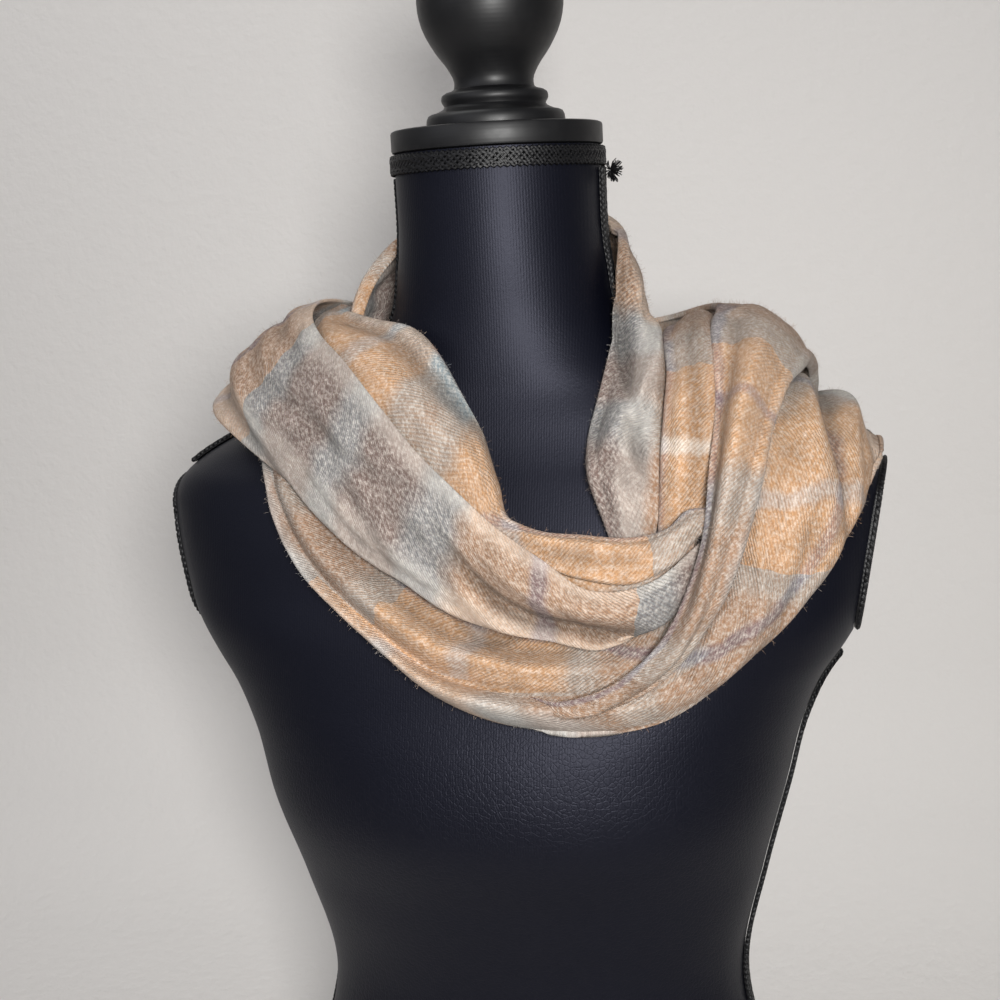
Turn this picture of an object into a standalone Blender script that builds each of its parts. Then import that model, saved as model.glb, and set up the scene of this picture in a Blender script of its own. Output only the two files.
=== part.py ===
"""A plaid scarf wound twice round the neck of a limbless dress form.

The form stands on its own flat bottom. The origin is the centre of that bottom, +Z is up, and the
front of the form faces -Y. Tables are in millimetres and MM turns them to metres.
"""

import math

import bmesh
import bpy
import numpy as np

MM = 0.001

# Driving sizes of the cloth.
CLOTH_WALL = 1.8
SEAM_GAP = 0.8
FORM_CLEARANCE = 2.3

# The cloth's outer side looks away from the form's axis and, by this much in millimetres, upwards.
FACE_LIFT = np.array((0.0, 0.0, 45.0))

# Driving sizes of the form.
NECK_RADIUS = 56.0
NECK_TOP = 671.0
TORSO_RINGS = (
    0, 12, 45, 80, 115, 150, 180, 210, 240, 270, 300, 330, 360, 394, 420, 448, 470,
    484, 494, 503, 512, 521, 530, 539, 549, 562, 580, 606, 636, 671,
)
TORSO_SIDES = 40
SEAT_GAP = 0.3

# The form's level sections, from the flat bottom to the top of the neck.
FORM_COLUMNS = ("height", "half_width", "front", "back", "middle", "squareness")
FORM_SECTIONS = (
    (0, 150, 98, 104, 0, 2.3),
    (12, 156, 102, 109, 0, 2.3),
    (45, 158, 102, 110, 0, 2.3),
    (120, 142, 93, 98, 0, 2.3),
    (210, 121, 82, 80, 0, 2.2),
    (270, 134, 100, 88, 0, 2.2),
    (320, 148, 119, 95, 0, 2.2),
    (360, 159, 116, 100, 4, 2.2),
    (385, 171, 108, 103, 8, 2.3),
    (400, 182, 104, 104, 10, 2.3),
    (420, 193, 98, 104, 13, 2.4),
    (440, 200, 91, 104, 16, 2.4),
    (475, 206, 80, 100, 20, 2.5),
    (488, 206, 75, 96, 20, 2.5),
    (498, 200, 71, 92, 20, 2.5),
    (508, 187, 67, 88, 19, 2.4),
    (517, 170, 64, 84, 17, 2.4),
    (530, 142, 61, 76, 13, 2.3),
    (545, 108, 58, 68, 8, 2.2),
    (560, 82, 57, 62, 4, 2.1),
    (580, 65, 56, 58, 0, 2.0),
    (610, 58, 56, 56, 0, 2.0),
    (671, 56, 56, 56, 0, 2.0),
)

# Each arm end is cut flat by a plane that leans in towards its bottom.
ARM_PLANE_OUT = 193.5
ARM_PLANE_HEIGHT = 455.0
ARM_PLANE_LEAN = 0.17
ARM_CUTTER_SIZE = 200.0

# How a flat arm end's lowest and highest point are looked for: from, to, and how many heights.
ARM_SEARCH = (380.0, 520.0, 561)

# Braid sewn on the form.
BRAID_WIDTH = 11.0
BRAID_THICKNESS = 2.6
ARM_BRAID_WIDTH = 9.0
ARM_BRAID_THICKNESS = 3.6
ARM_BRAID_POINTS = 32
NECK_BRAID_RINGS = (658.8, 636, 606, 580, 562, 549, 539, 530, 521, 512, 503)
SIDE_BRAID_RINGS = (394, 360, 330, 300, 270, 240, 210, 180, 150, 115, 80, 45, 12)

# The frayed end of the right neck braid: its middle and how far it reaches each way.
TUFT_CENTRE = np.array((64.4, -5.0, 657.0))
TUFT_REACH = np.array((5.5, 4.0, 7.0))

# The turned cap and finial, as radius and height, from the top down.
CAP_PROFILE = (
    (0, 683.6),
    (56, 683.6),
    (57.5, 682.1),
    (57.5, 672.9),
    (56, 671.4),
    (0, 671.4),
)
FINIAL_PROFILE = (
    (0, 790),
    (9, 789),
    (20, 784),
    (30, 775),
    (37, 763),
    (39.5, 750),
    (37.5, 737),
    (31, 724),
    (24, 714),
    (21.5, 708),
    (22, 704),
    (28.5, 701),
    (29, 698),
    (27.5, 695),
    (32, 692),
    (36.5, 690.5),
    (37.5, 684),
    (0, 684),
)
FINIAL_STEPS = 24
CAP_STEPS = 36

# A rolled edge is an arc about its own radius, between these two angles from the face.
ROLL_START = 0.15
ROLL_END = math.radians(140)

# How many points a section is drawn with, on its face and on each roll, before it is evened out.
FACE_POINTS = 25
ROLL_POINTS = 9

# How many times a point that would sink into the form is moved out.
REST_PASSES = 4

# One row for each section of a stretch of cloth. Inner is the edge next to the neck, or the upper
# edge, and outer is the other edge. Bulge is how far the middle of the face stands out, and the
# rolls are the radii of the rounded edges, where the cloth turns under.
CLOTH_COLUMNS = (
    "inner_x", "inner_y", "inner_z", "outer_x", "outer_y", "outer_z", "bulge", "inner_roll", "outer_roll",
)
LONG_BAND = (
    (117, -103, 474, 113, -111, 446, 2, 0, 3),
    (95, -118, 458, 95, -120, 433, 3, 0, 4),
    (66, -131, 457, 68, -128, 426, 4, 0, 5),
    (43, -129, 471, 43, -129, 431, 4, 0, 5),
    (22, -126, 485, 20, -129, 435, 5, 0, 6),
    (0, -119, 503, -4, -127, 442, 5, 0, 6),
    (-21, -112, 521, -30, -121, 456, 5, 0, 6),
    (-44, -101, 545, -54, -115, 469, 6, 0, 6),
    (-66, -86, 566, -77, -107, 485, 6, 0, 6),
    (-84, -68, 578, -102, -94, 506, 7, 0, 6),
    (-96, -48, 588, -133, -75, 525, 8, 0, 6),
    (-102, -24, 594, -158, -48, 536, 9, 0, 6),
    (-103, 2, 595, -171, -12, 538, 10, 0, 6),
    (-100, 28, 592, -169, 28, 530, 9, 0, 5),
    (-93, 57, 585, -158, 77, 504, 8, 1, 5),
    (-72, 84, 576, -118, 113, 481, 9, 3, 5),
    (-38, 100, 568, -64, 127, 465, 8, 3, 5),
    (0, 105, 565, 0, 133, 459, 8, 3, 5),
    (40, 102, 568, 66, 129, 465, 8, 3, 5),
    (80, 86, 575, 122, 112, 482, 8, 3, 5),
    (104, 59, 582, 161, 87, 517, 9, 3, 5),
    (114, 28, 584, 169, 39, 546, 8, 3, 5),
    (117, 0, 582, 168, 4, 556, 9, 3, 5),
    (117, -28, 577, 166, -32, 556, 9, 3, 5),
    (120, -56, 563, 159, -64, 550, 9, 3, 5),
    (123, -79, 541, 152, -88, 530, 9, 3, 5),
    (121, -101, 510, 147, -107, 505, 9, 3, 5),
    (117, -116, 474, 137, -121, 470, 8, 3, 5),
    (107, -128, 444, 127, -127, 446, 7, 3, 5),
    (92, -135, 422, 109, -130, 418, 6, 3, 4),
    (71, -139, 407, 86, -132, 401, 5, 3, 4),
    (48, -139, 401, 56, -134, 393, 3, 2, 2),
)
LOWER_RING = (
    (58, -106, 432, 58, -126, 384, 9, 0, 7),
    (88, -104, 432, 96, -117, 387, 9, 0, 7),
    (110, -100, 446, 128, -103, 404, 9, 0, 7),
    (124, -94, 464, 158, -86, 429, 9, 0, 7),
    (136, -86, 484, 178, -77, 453, 10, 0, 7),
    (146, -76, 511, 191, -65, 474, 10, 0, 7),
    (150, -54, 531, 198, -44, 487, 9, 0, 6),
    (151, -24, 542, 200, -18, 500, 9, 0, 5),
    (151, 2, 544, 199, 8, 505, 9, 0, 5),
    (145, 32, 536, 192, 41, 508, 8, 0, 5),
    (137, 45, 529, 189, 63, 496, 8, 0, 5),
    (130, 62, 525, 175, 82, 468, 8, 0, 6),
    (106, 89, 500, 130, 104, 438, 7, 0, 6),
    (66, 100, 484, 74, 119, 421, 7, 0, 6),
    (0, 105, 474, 0, 124, 414, 7, 0, 6),
    (-66, 100, 480, -74, 118, 424, 7, 0, 6),
    (-104, 92, 490, -120, 105, 446, 6, 0, 5),
    (-120, 85, 499, -134, 87, 479, 1, 0, 3),
    (-121, 56, 531, -134, 58, 525, 1, 0, 2),
    (-118, 26, 547, -136, 28, 541, 1, 0, 2),
    (-112, -4, 549, -137, -6, 541, 2, 0, 3),
    (-104, -34, 540, -137, -36, 521, 3, 0, 3),
    (-92, -60, 523, -125, -62, 509, 5, 0, 5),
    (-78, -80, 500, -112, -83, 484, 6, 0, 6),
    (-60, -91, 481, -94, -97, 459, 7, 0, 7),
    (-42, -98, 463, -69, -108, 438, 8, 0, 7),
    (-24, -103, 450, -43, -117, 419, 9, 0, 7),
    (-4, -106, 441, -18, -124, 402, 9, 0, 7),
    (20, -107, 435, 13, -127, 390, 9, 0, 7),
    (40, -107, 433, 38, -127, 386, 9, 0, 7),
    (58, -106, 432, 58, -126, 384, 9, 0, 7),
)
NECK_TURN = (
    (-76, -34, 572, -82, -36, 562, 1, 2, 0),
    (-82, -18, 588, -86, -18, 571, 1, 3, 0),
    (-80, -4, 606, -88, 2, 574, 2, 4, 0),
    (-73, 10, 621, -86, 22, 574, 3, 5, 0),
    (-63, 28, 635, -77, 46, 568, 5, 6, 0),
    (-48, 50, 642, -61, 72, 562, 7, 6, 0),
    (-26, 66, 643, -34, 90, 558, 8, 6, 0),
    (0, 72, 642, 0, 95, 556, 8, 6, 0),
    (30, 64, 641, 37, 87, 558, 7, 6, 0),
    (50, 46, 637, 61, 64, 564, 4, 6, 0),
    (61, 26, 631, 73, 40, 571, 3, 6, 0),
    (68, 6, 622, 79, 14, 574, 2, 5, 0),
    (72, -12, 608, 83, -10, 572, 2, 5, 0),
    (71, -31, 586, 88, -28, 566, 4, 5, 0),
    (66, -50, 563, 95, -47, 552, 7, 5, 0),
    (62, -64, 544, 97, -62, 535, 8, 5, 0),
    (57, -75, 522, 97, -76, 511, 8, 5, 0),
    (59, -85, 503, 95, -86, 490, 6, 5, 0),
    (66, -90, 484, 92, -89, 472, 3, 4, 0),
    (72, -90, 466, 90, -90, 458, 2, 3, 0),
)
UPPER_BAND = (
    (-95, 46, 572, -103, 50, 572, 2, 2, 0),
    (-92, 18, 588, -101, 22, 586, 2, 3, 0),
    (-89, -8, 593, -101, -8, 588, 3, 4, 0),
    (-82, -32, 592, -101, -36, 577, 5, 5, 0),
    (-62, -50, 588, -94, -62, 562, 6, 6, 0),
    (-36, -63, 583, -76, -82, 545, 7, 6, 0),
    (-19, -76, 570, -53, -95, 522, 8, 6, 0),
    (-5, -84, 549, -31, -103, 500, 8, 6, 0),
    (6, -91, 529, -11, -107, 482, 8, 6, 0),
    (13, -98, 508, 6, -112, 473, 7, 5, 0),
    (20, -106, 491, 23, -118, 472, 5, 4, 1),
    (36, -111, 484, 40, -124, 469, 5, 4, 2),
    (62, -115, 482, 63, -129, 463, 6, 4, 3),
    (86, -111, 480, 89, -124, 460, 6, 4, 3),
    (102, -107, 484, 109, -118, 471, 5, 4, 3),
    (113, -101, 494, 119, -106, 486, 2, 2, 1),
)
SECOND_ROLL = (
    (22, -104, 474, 24, -114, 452, 2, 0, 0),
    (42, -109, 470, 45, -123, 444, 4, 0, 0),
    (64, -110, 466, 68, -127, 440, 6, 0, 0),
    (86, -106, 463, 92, -118, 440, 6, 0, 0),
    (102, -99, 470, 107, -104, 452, 4, 0, 0),
    (110, -94, 481, 115, -98, 469, 2, 0, 0),
)
PLEAT_ONE = (
    (98, 62, 550, 116, 62, 546, 4, 2, 2),
    (93, 36, 566, 112, 38, 562, 9, 3, 3),
    (90, 14, 573, 113, 16, 570, 12, 4, 3),
    (90, -12, 574, 114, -12, 571, 13, 4, 4),
    (93, -37, 569, 116, -37, 566, 12, 4, 4),
    (97, -57, 557, 118, -57, 556, 9, 4, 4),
    (97, -75, 538, 121, -77, 538, 8, 4, 4),
    (96, -86, 514, 120, -88, 514, 7, 4, 3),
    (95, -89, 490, 113, -91, 491, 4, 3, 3),
    (93, -88, 468, 106, -89, 469, 2, 2, 2),
)

# One row for each soft fold on a stretch: where it begins and ends along the stretch, in table
# rows, where it lies across the face at each end, from 0 at the inner edge to 1 at the outer
# edge, its width across in millimetres, and how far it stands out, or in where it is negative.
FOLD_COLUMNS = ("first_row", "last_row", "across_first", "across_last", "width", "height")
LONG_BAND_FOLDS = (
    (1.0, 6.5, 0.62, 0.74, 8, -3.5),
    (12.0, 18.0, 0.35, 0.45, 16, 4.0),
    (13.0, 21.0, 0.75, 0.65, 12, -4.0),
    (23.0, 27.0, 0.45, 0.50, 14, 3.0),
)
LOWER_RING_FOLDS = (
    (1.5, 8.5, 0.45, 0.40, 10, -3.5),
    (4.0, 10.0, 0.68, 0.62, 9, -3.0),
    (11.0, 17.0, 0.40, 0.50, 14, -4.0),
    (22.5, 29.5, 0.50, 0.50, 9, -4.0),
)
NECK_TURN_FOLDS = (
    (3.0, 10.0, 0.55, 0.60, 12, -3.0),
    (12.0, 17.5, 0.45, 0.20, 6, -3.0),
    (13.0, 18.0, 0.85, 0.35, 9, 4.0),
)
UPPER_BAND_FOLDS = ((2.5, 9.5, 0.55, 0.45, 8, -2.5),)
NO_FOLDS = ()

# One row for each piece of cloth: its name, the tables it is cut from, its first and last row,
# and how many stations it has along and points across.
PIECE_COLUMNS = ("name", "sections", "folds", "first_row", "last_row", "along", "across")
CLOTH_PIECES = (
    ("left_band_lower", LONG_BAND, LONG_BAND_FOLDS, 0, 12.5, 26, 9),
    ("back_swag_upper", LONG_BAND, LONG_BAND_FOLDS, 12.5, 22, 17, 9),
    ("pleat_two", LONG_BAND, LONG_BAND_FOLDS, 22, 31, 19, 9),
    ("outer_right_folds", LOWER_RING, LOWER_RING_FOLDS, 0.01, 8, 17, 9),
    ("back_swag_lower", LOWER_RING, LOWER_RING_FOLDS, 8, 20, 24, 9),
    ("under_loop", LOWER_RING, LOWER_RING_FOLDS, 20.04, 29.99, 20, 9),
    ("neck_turn", NECK_TURN, NECK_TURN_FOLDS, 0, 11.46, 22, 8),
    ("inner_right_fold", NECK_TURN, NECK_TURN_FOLDS, 11.5, 19, 15, 10),
    ("left_band_upper", UPPER_BAND, UPPER_BAND_FOLDS, 0, 10, 19, 8),
    ("front_roll", UPPER_BAND, UPPER_BAND_FOLDS, 10, 15, 12, 8),
    ("second_roll", SECOND_ROLL, NO_FOLDS, 0, 5, 11, 6),
    ("pleat_one", PLEAT_ONE, NO_FOLDS, 0, 9, 17, 8),
)


def clear_scene():
    for existing in list(bpy.data.objects):
        bpy.data.objects.remove(existing, do_unlink=True)


def linear_channel(value):
    if value <= 0.04045:
        return value / 12.92
    return ((value + 0.055) / 1.055) ** 2.4


def make_material(name, colour_hex, roughness):
    material = bpy.data.materials.new(name)
    material.use_nodes = True
    shader = material.node_tree.nodes["Principled BSDF"]
    channels = [linear_channel(int(colour_hex[i : i + 2], 16) / 255) for i in (0, 2, 4)]
    shader.inputs["Base Color"].default_value = (*channels, 1.0)
    shader.inputs["Roughness"].default_value = roughness
    shader.inputs["Metallic"].default_value = 0.0
    return material


def add_object(name, mesh, material, collection):
    mesh.materials.append(material)
    mesh.shade_smooth()
    piece = bpy.data.objects.new(name, mesh)
    collection.objects.link(piece)
    return piece


def slopes_of(rows, places):
    """The slope of each column at each row, for a smooth curve through the rows."""
    steps = np.diff(places)[:, None]
    chords = np.diff(rows, axis=0) / steps
    slopes = np.empty_like(rows)
    slopes[0] = chords[0]
    slopes[-1] = chords[-1]
    before = steps[:-1]
    after = steps[1:]
    slopes[1:-1] = (chords[:-1] * after + chords[1:] * before) / (before + after)
    return slopes


def smooth_rows(rows, places, wanted):
    """The rows of a table read at the wanted places along it."""
    rows = np.asarray(rows, float)
    slopes = slopes_of(rows, places)
    index = np.clip(np.searchsorted(places, wanted, side="right") - 1, 0, len(places) - 2)
    span = (places[index + 1] - places[index])[:, None]
    t = (wanted - places[index])[:, None] / span
    start = rows[index]
    end = rows[index + 1]
    keep = 2 * t**3 - 3 * t**2 + 1
    lead = t**3 - 2 * t**2 + t
    trail = t**3 - t**2
    return keep * start + (1 - keep) * end + span * (lead * slopes[index] + trail * slopes[index + 1])


FORM_TABLE = np.asarray(FORM_SECTIONS, float)


def form_section(height):
    """Half width, front, back, middle and squareness of the form at some heights."""
    wanted = np.clip(np.atleast_1d(np.asarray(height, float)), 0.0, NECK_TOP)
    return smooth_rows(FORM_TABLE[:, 1:], FORM_TABLE[:, 0], wanted)


def form_point(height, turn):
    """The point of the form at a height and an angle from the front."""
    half_width, front, back, middle, squareness = form_section(height)[0]
    power = 2 / squareness
    sideways = math.sin(turn)
    forwards = math.cos(turn)
    x = half_width * math.copysign(abs(sideways) ** power, sideways)
    depth = front + middle if forwards > 0 else back - middle
    y = middle - depth * math.copysign(abs(forwards) ** power, forwards)
    return np.array((x, y, height))


def form_excess(points):
    """How far each point lies outside the form, level with it."""
    half_width, front, back, middle, squareness = form_section(points[:, 2]).T
    aside = points[:, 1] - middle
    distance = np.hypot(points[:, 0], aside) + 1e-6
    depth = np.where(aside < 0, front + middle, back - middle)
    share_x = np.abs(points[:, 0]) / distance / half_width
    share_y = np.abs(aside) / distance / depth
    reach = (share_x**squareness + share_y**squareness) ** (-1 / squareness)
    return distance - reach


def form_distance(points):
    """Each point's distance from the form, and the direction straight away from it."""
    excess = form_excess(points)
    step = 0.5
    slope = np.zeros_like(points)
    for axis in range(3):
        moved = points.copy()
        moved[:, axis] += step
        slope[:, axis] = (form_excess(moved) - excess) / step
    steepness = np.linalg.norm(slope, axis=1)
    return excess / steepness, slope / steepness[:, None]


def mesh_from_grid(name, grid, closed_across):
    """A mesh with a square for each cell of a grid of points in millimetres."""
    along, across = grid.shape[:2]
    mesh = bpy.data.meshes.new(name)
    build = bmesh.new()
    points = [[build.verts.new(point * MM) for point in row] for row in grid]
    cells = across if closed_across else across - 1
    for i in range(along - 1):
        for j in range(cells):
            k = (j + 1) % across
            build.faces.new((points[i][j], points[i][k], points[i + 1][k], points[i + 1][j]))
    if closed_across:
        build.faces.new(list(reversed(points[0])))
        build.faces.new(points[-1])
    bmesh.ops.recalc_face_normals(build, faces=build.faces)
    build.to_mesh(mesh)
    build.free()
    return mesh


def arm_plane(height):
    return ARM_PLANE_OUT + ARM_PLANE_LEAN * (height - ARM_PLANE_HEIGHT)


def build_torso(material, collection, helpers):
    turns = np.linspace(0, 2 * math.pi, TORSO_SIDES, endpoint=False)
    rings = np.array([[form_point(height, turn) for turn in turns] for height in TORSO_RINGS])
    torso = add_object("form_torso", mesh_from_grid("form_torso", rings, True), material, collection)
    for side in (-1, 1):
        bpy.ops.mesh.primitive_cube_add(size=ARM_CUTTER_SIZE * MM)
        cutter = bpy.context.object
        cutter.name = "arm_cutter"
        cutter.rotation_euler = (0, side * math.atan(ARM_PLANE_LEAN), 0)
        reach = ARM_CUTTER_SIZE / 2 * math.sqrt(1 + ARM_PLANE_LEAN**2)
        cutter.location = (side * (ARM_PLANE_OUT + reach) * MM, 0, ARM_PLANE_HEIGHT * MM)
        cutter.hide_render = True
        cutter.display_type = "WIRE"
        for owner in list(cutter.users_collection):
            owner.objects.unlink(cutter)
        helpers.objects.link(cutter)
        cut = torso.modifiers.new("flat arm end", "BOOLEAN")
        cut.operation = "DIFFERENCE"
        cut.object = cutter
    return torso


def build_turned(name, profile, steps, material, collection):
    """A turned piece, from its outline's radii and heights, top to bottom."""
    mesh = bpy.data.meshes.new(name)
    outline = [(radius * MM, 0, height * MM) for radius, height in profile]
    edges = [(i, i + 1) for i in range(len(outline) - 1)]
    mesh.from_pydata(outline, edges, [])
    piece = add_object(name, mesh, material, collection)
    screw = piece.modifiers.new("turned", "SCREW")
    screw.steps = steps
    screw.render_steps = steps
    screw.use_merge_vertices = True
    screw.merge_threshold = 0.00001
    screw.use_smooth_shade = True
    return piece


def build_strip(name, left, right, out, thickness, closed, material, collection):
    """A flat braid between two lines on the form, moved out by its seat gap and its thickness."""
    lift_low = out * SEAT_GAP
    lift_high = out * (SEAT_GAP + thickness)
    corners = [left + lift_low, right + lift_low, right + lift_high, left + lift_high]
    grid = np.stack(corners, axis=1)
    if closed:
        grid = np.concatenate([grid, grid[:1]])
    mesh = mesh_from_grid(name, grid, True)
    if closed:
        close_ring(mesh)
    return add_object(name, mesh, material, collection)


def close_ring(mesh):
    """Takes the two end caps out of a strip that runs into its own start, and joins the ends."""
    build = bmesh.new()
    build.from_mesh(mesh)
    build.faces.ensure_lookup_table()
    caps = build.faces[-2:]
    bmesh.ops.delete(build, geom=caps, context="FACES_ONLY")
    bmesh.ops.remove_doubles(build, verts=build.verts, dist=0.01 * MM)
    bmesh.ops.recalc_face_normals(build, faces=build.faces)
    build.to_mesh(mesh)
    build.free()


def build_neck_braid(material, collection):
    outer = NECK_RADIUS + SEAT_GAP + BRAID_THICKNESS
    inner = NECK_RADIUS + SEAT_GAP
    top = NECK_TOP - SEAT_GAP
    bottom = top - BRAID_WIDTH
    profile = ((inner, top), (outer, top), (outer, bottom), (inner, bottom), (inner, top))
    return build_turned("neck_braid", profile, CAP_STEPS, material, collection)


def side_line(side, heights, aside):
    """Points of the form's side at some heights, moved aside to the front or the back."""
    half_width, front, back, middle, squareness = form_section(heights).T
    off = aside - middle
    depth = np.where(off < 0, front + middle, back - middle)
    x = side * half_width * (1 - (np.abs(off) / depth) ** squareness) ** (1 / squareness)
    return np.stack([x, np.full_like(x, aside), heights], axis=1)


def build_side_braid(name, side, heights, material, collection):
    heights = np.asarray(heights, float)
    middle = side_line(side, heights, 0.0)
    out = form_distance(middle)[1]
    front = side_line(side, heights, -BRAID_WIDTH / 2)
    back = side_line(side, heights, BRAID_WIDTH / 2)
    return build_strip(name, front, back, out, BRAID_THICKNESS, False, material, collection)


def arm_span():
    """The lowest and highest point of a flat arm end."""
    heights = np.linspace(*ARM_SEARCH)
    cut = form_section(heights)[:, 0] > arm_plane(heights)
    return heights[cut][0], heights[cut][-1]


def arm_rim(side, turn):
    """A point on the rim of a flat arm end, at an angle round it from its top."""
    bottom, top = arm_span()
    height = (top + bottom) / 2 + (top - bottom) / 2 * math.cos(turn)
    half_width, front, back, middle, squareness = form_section(height)[0]
    share = min(1.0, arm_plane(height) / half_width)
    forwards = math.sin(turn) > 0
    depth = front + middle if forwards else back - middle
    off = depth * (1 - share**squareness) ** (1 / squareness)
    return np.array((side * arm_plane(height), middle + (-off if forwards else off), height))


def build_arm_braid(name, side, material, collection):
    """A closed ring of braid that stands on the rim of a flat arm end."""
    turns = np.linspace(0, 2 * math.pi, ARM_BRAID_POINTS, endpoint=False)
    rim = np.array([arm_rim(side, turn) for turn in turns])
    spread = rim - rim.mean(axis=0)
    spread /= np.linalg.norm(spread, axis=1)[:, None]
    face = np.array((side, 0.0, -ARM_PLANE_LEAN))
    face /= np.linalg.norm(face)
    inner = rim - spread * ARM_BRAID_WIDTH
    out = np.tile(face, (len(rim), 1))
    return build_strip(name, inner, rim, out, ARM_BRAID_THICKNESS, True, material, collection)


def build_tuft(material, collection):
    """The frayed end of the right neck braid, as a plain solid of its reach."""
    bpy.ops.mesh.primitive_uv_sphere_add(segments=12, ring_count=8, radius=1.0)
    tuft = bpy.context.object
    mesh = tuft.data
    for vertex in mesh.vertices:
        vertex.co = (np.array(vertex.co) * TUFT_REACH + TUFT_CENTRE) * MM
    bpy.data.objects.remove(tuft, do_unlink=True)
    mesh.name = "braid_tuft"
    return add_object("braid_tuft", mesh, material, collection)


def arc_points(centre, start, end, first, last, count):
    """Points on an arc about a centre, from one direction towards another."""
    angles = np.linspace(first, last, count)[:, None]
    return centre + start * np.cos(angles) + end * np.sin(angles)


def section_points(row, out, across):
    """Evenly spaced points across one section: the rolled inner edge, the face, the rolled outer edge."""
    bulge, inner_roll, outer_roll = row[6:9]
    chord = row[3:6] - row[0:3]
    chord = chord / np.linalg.norm(chord)
    inner = row[0:3] + chord * inner_roll
    outer = row[3:6] - chord * outer_roll
    share = np.linspace(0, 1, FACE_POINTS)[:, None]
    face = inner + (outer - inner) * share + out * bulge * 4 * share * (1 - share)
    turned_in = arc_points(
        inner - out * inner_roll, out * inner_roll, -chord * inner_roll, ROLL_END, ROLL_START, ROLL_POINTS
    )
    turned_out = arc_points(
        outer - out * outer_roll, out * outer_roll, chord * outer_roll, ROLL_START, ROLL_END, ROLL_POINTS
    )
    path = np.concatenate([turned_in, face, turned_out])
    length = np.concatenate([[0], np.cumsum(np.linalg.norm(np.diff(path, axis=0), axis=1))])
    wanted = np.linspace(0, length[-1], across)
    return np.stack([np.interp(wanted, length, path[:, k]) for k in range(3)], axis=1)


def outward(rows):
    """The direction that the face of each section looks in, away from the form's axis."""
    middle = (rows[:, 0:3] + rows[:, 3:6]) / 2
    along = np.gradient(middle, axis=0)
    chord = rows[:, 3:6] - rows[:, 0:3]
    out = np.cross(along, chord)
    out /= np.linalg.norm(out, axis=1)[:, None]
    away = middle * (1, 1, 0) + FACE_LIFT
    return out * np.sign(np.sum(out * away, axis=1))[:, None]


def fold_lift(folds, place, share, width):
    """How far the folds move a point out, at a place in table rows and a share across the face."""
    lift = 0.0
    for first, last, across_first, across_last, fold_width, height in folds:
        t = (place - first) / (last - first)
        if not 0 < t < 1:
            continue
        middle = across_first + (across_last - across_first) * t
        off = (share - middle) * width / fold_width
        lift += height * math.sin(math.pi * t) ** 0.6 * math.exp(-2.5 * off * off)
    return lift


def braid_lift(points):
    """The extra room that the cloth keeps where it passes over the braid on the form's sides."""
    past_braid = np.abs(points[:, 1]) - BRAID_WIDTH / 2
    near = np.clip(1 - past_braid / BRAID_WIDTH, 0, 1)
    return (BRAID_THICKNESS + SEAT_GAP) * np.minimum(1, 2 * near)


def rest_on_form(points):
    """Moves any point that would sink into the form straight out, to just clear of it."""
    for _ in range(REST_PASSES):
        distance, out = form_distance(points)
        short = FORM_CLEARANCE + CLOTH_WALL + braid_lift(points) - distance
        points = points + out * np.maximum(short, 0)[:, None]
    return points


def cloth_rows(sections, wanted_rows):
    """The table read at even steps between two rows, with one more step past each end."""
    table = np.asarray(sections, float)
    numbers = np.arange(len(table), dtype=float)
    middle = (table[:, 0:3] + table[:, 3:6]) / 2
    run = np.linalg.norm(np.diff(middle, axis=0), axis=1)
    lengths = np.concatenate([[0], np.cumsum(run)])
    first_row, last_row, along = wanted_rows
    begin = np.interp(first_row, numbers, lengths) + SEAM_GAP / 2
    end = np.interp(last_row, numbers, lengths) - SEAM_GAP / 2
    step = (end - begin) / (along - 1)
    wanted = begin + step * np.arange(-1, along + 1)
    wanted = np.clip(wanted, 0, lengths[-1])
    return smooth_rows(table, lengths, wanted), np.interp(wanted, lengths, numbers)


def surface_normals(grid):
    """The outward direction at each point of a grid."""
    along = np.gradient(grid, axis=0)
    across = np.gradient(grid, axis=1)
    normals = np.cross(along, across)
    normals /= np.linalg.norm(normals, axis=2)[..., None] + 1e-9
    core = grid * (1, 1, 0) + FACE_LIFT
    middle = grid.shape[1] // 2
    facing = np.sign(np.sum(normals[:, middle] * core[:, middle], axis=1).mean())
    return normals * facing


def cloth_surfaces(sections, folds, first_row, last_row, along, across):
    """The outer and the inner surface of a piece of cloth, as two grids of points."""
    rows, places = cloth_rows(sections, (first_row, last_row, along))
    out = outward(rows)
    shares = np.linspace(0, 1, across)
    grid = []
    for row, direction, place in zip(rows, out, places):
        points = section_points(row, direction, across)
        width = np.linalg.norm(row[3:6] - row[0:3])
        lifts = [fold_lift(folds, place, share, width) for share in shares]
        grid.append(points + direction * np.array(lifts)[:, None])
    outer = rest_on_form(np.array(grid).reshape(-1, 3)).reshape(len(rows), across, 3)
    inner = outer - surface_normals(outer) * CLOTH_WALL
    return outer[1:-1], inner[1:-1]


def build_cloth(name, sections, folds, first_row, last_row, along, across, material, collection):
    """A walled piece of cloth, lofted through its sections on both sides."""
    outer, inner = cloth_surfaces(sections, folds, first_row, last_row, along, across)
    mesh = bpy.data.meshes.new(name)
    build = bmesh.new()
    rings = []
    for outside, inside in zip(outer, inner):
        ring = [build.verts.new(point * MM) for point in outside]
        ring += [build.verts.new(point * MM) for point in inside[::-1]]
        rings.append(ring)
    points = 2 * across
    for ring, following in zip(rings, rings[1:]):
        for j in range(points):
            k = (j + 1) % points
            build.faces.new((ring[j], ring[k], following[k], following[j]))
    for ring in (rings[0], rings[-1]):
        for j in range(across - 1):
            build.faces.new((ring[j], ring[j + 1], ring[points - 2 - j], ring[points - 1 - j]))
    bmesh.ops.recalc_face_normals(build, faces=build.faces)
    build.to_mesh(mesh)
    build.free()
    return add_object(name, mesh, material, collection)


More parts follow.
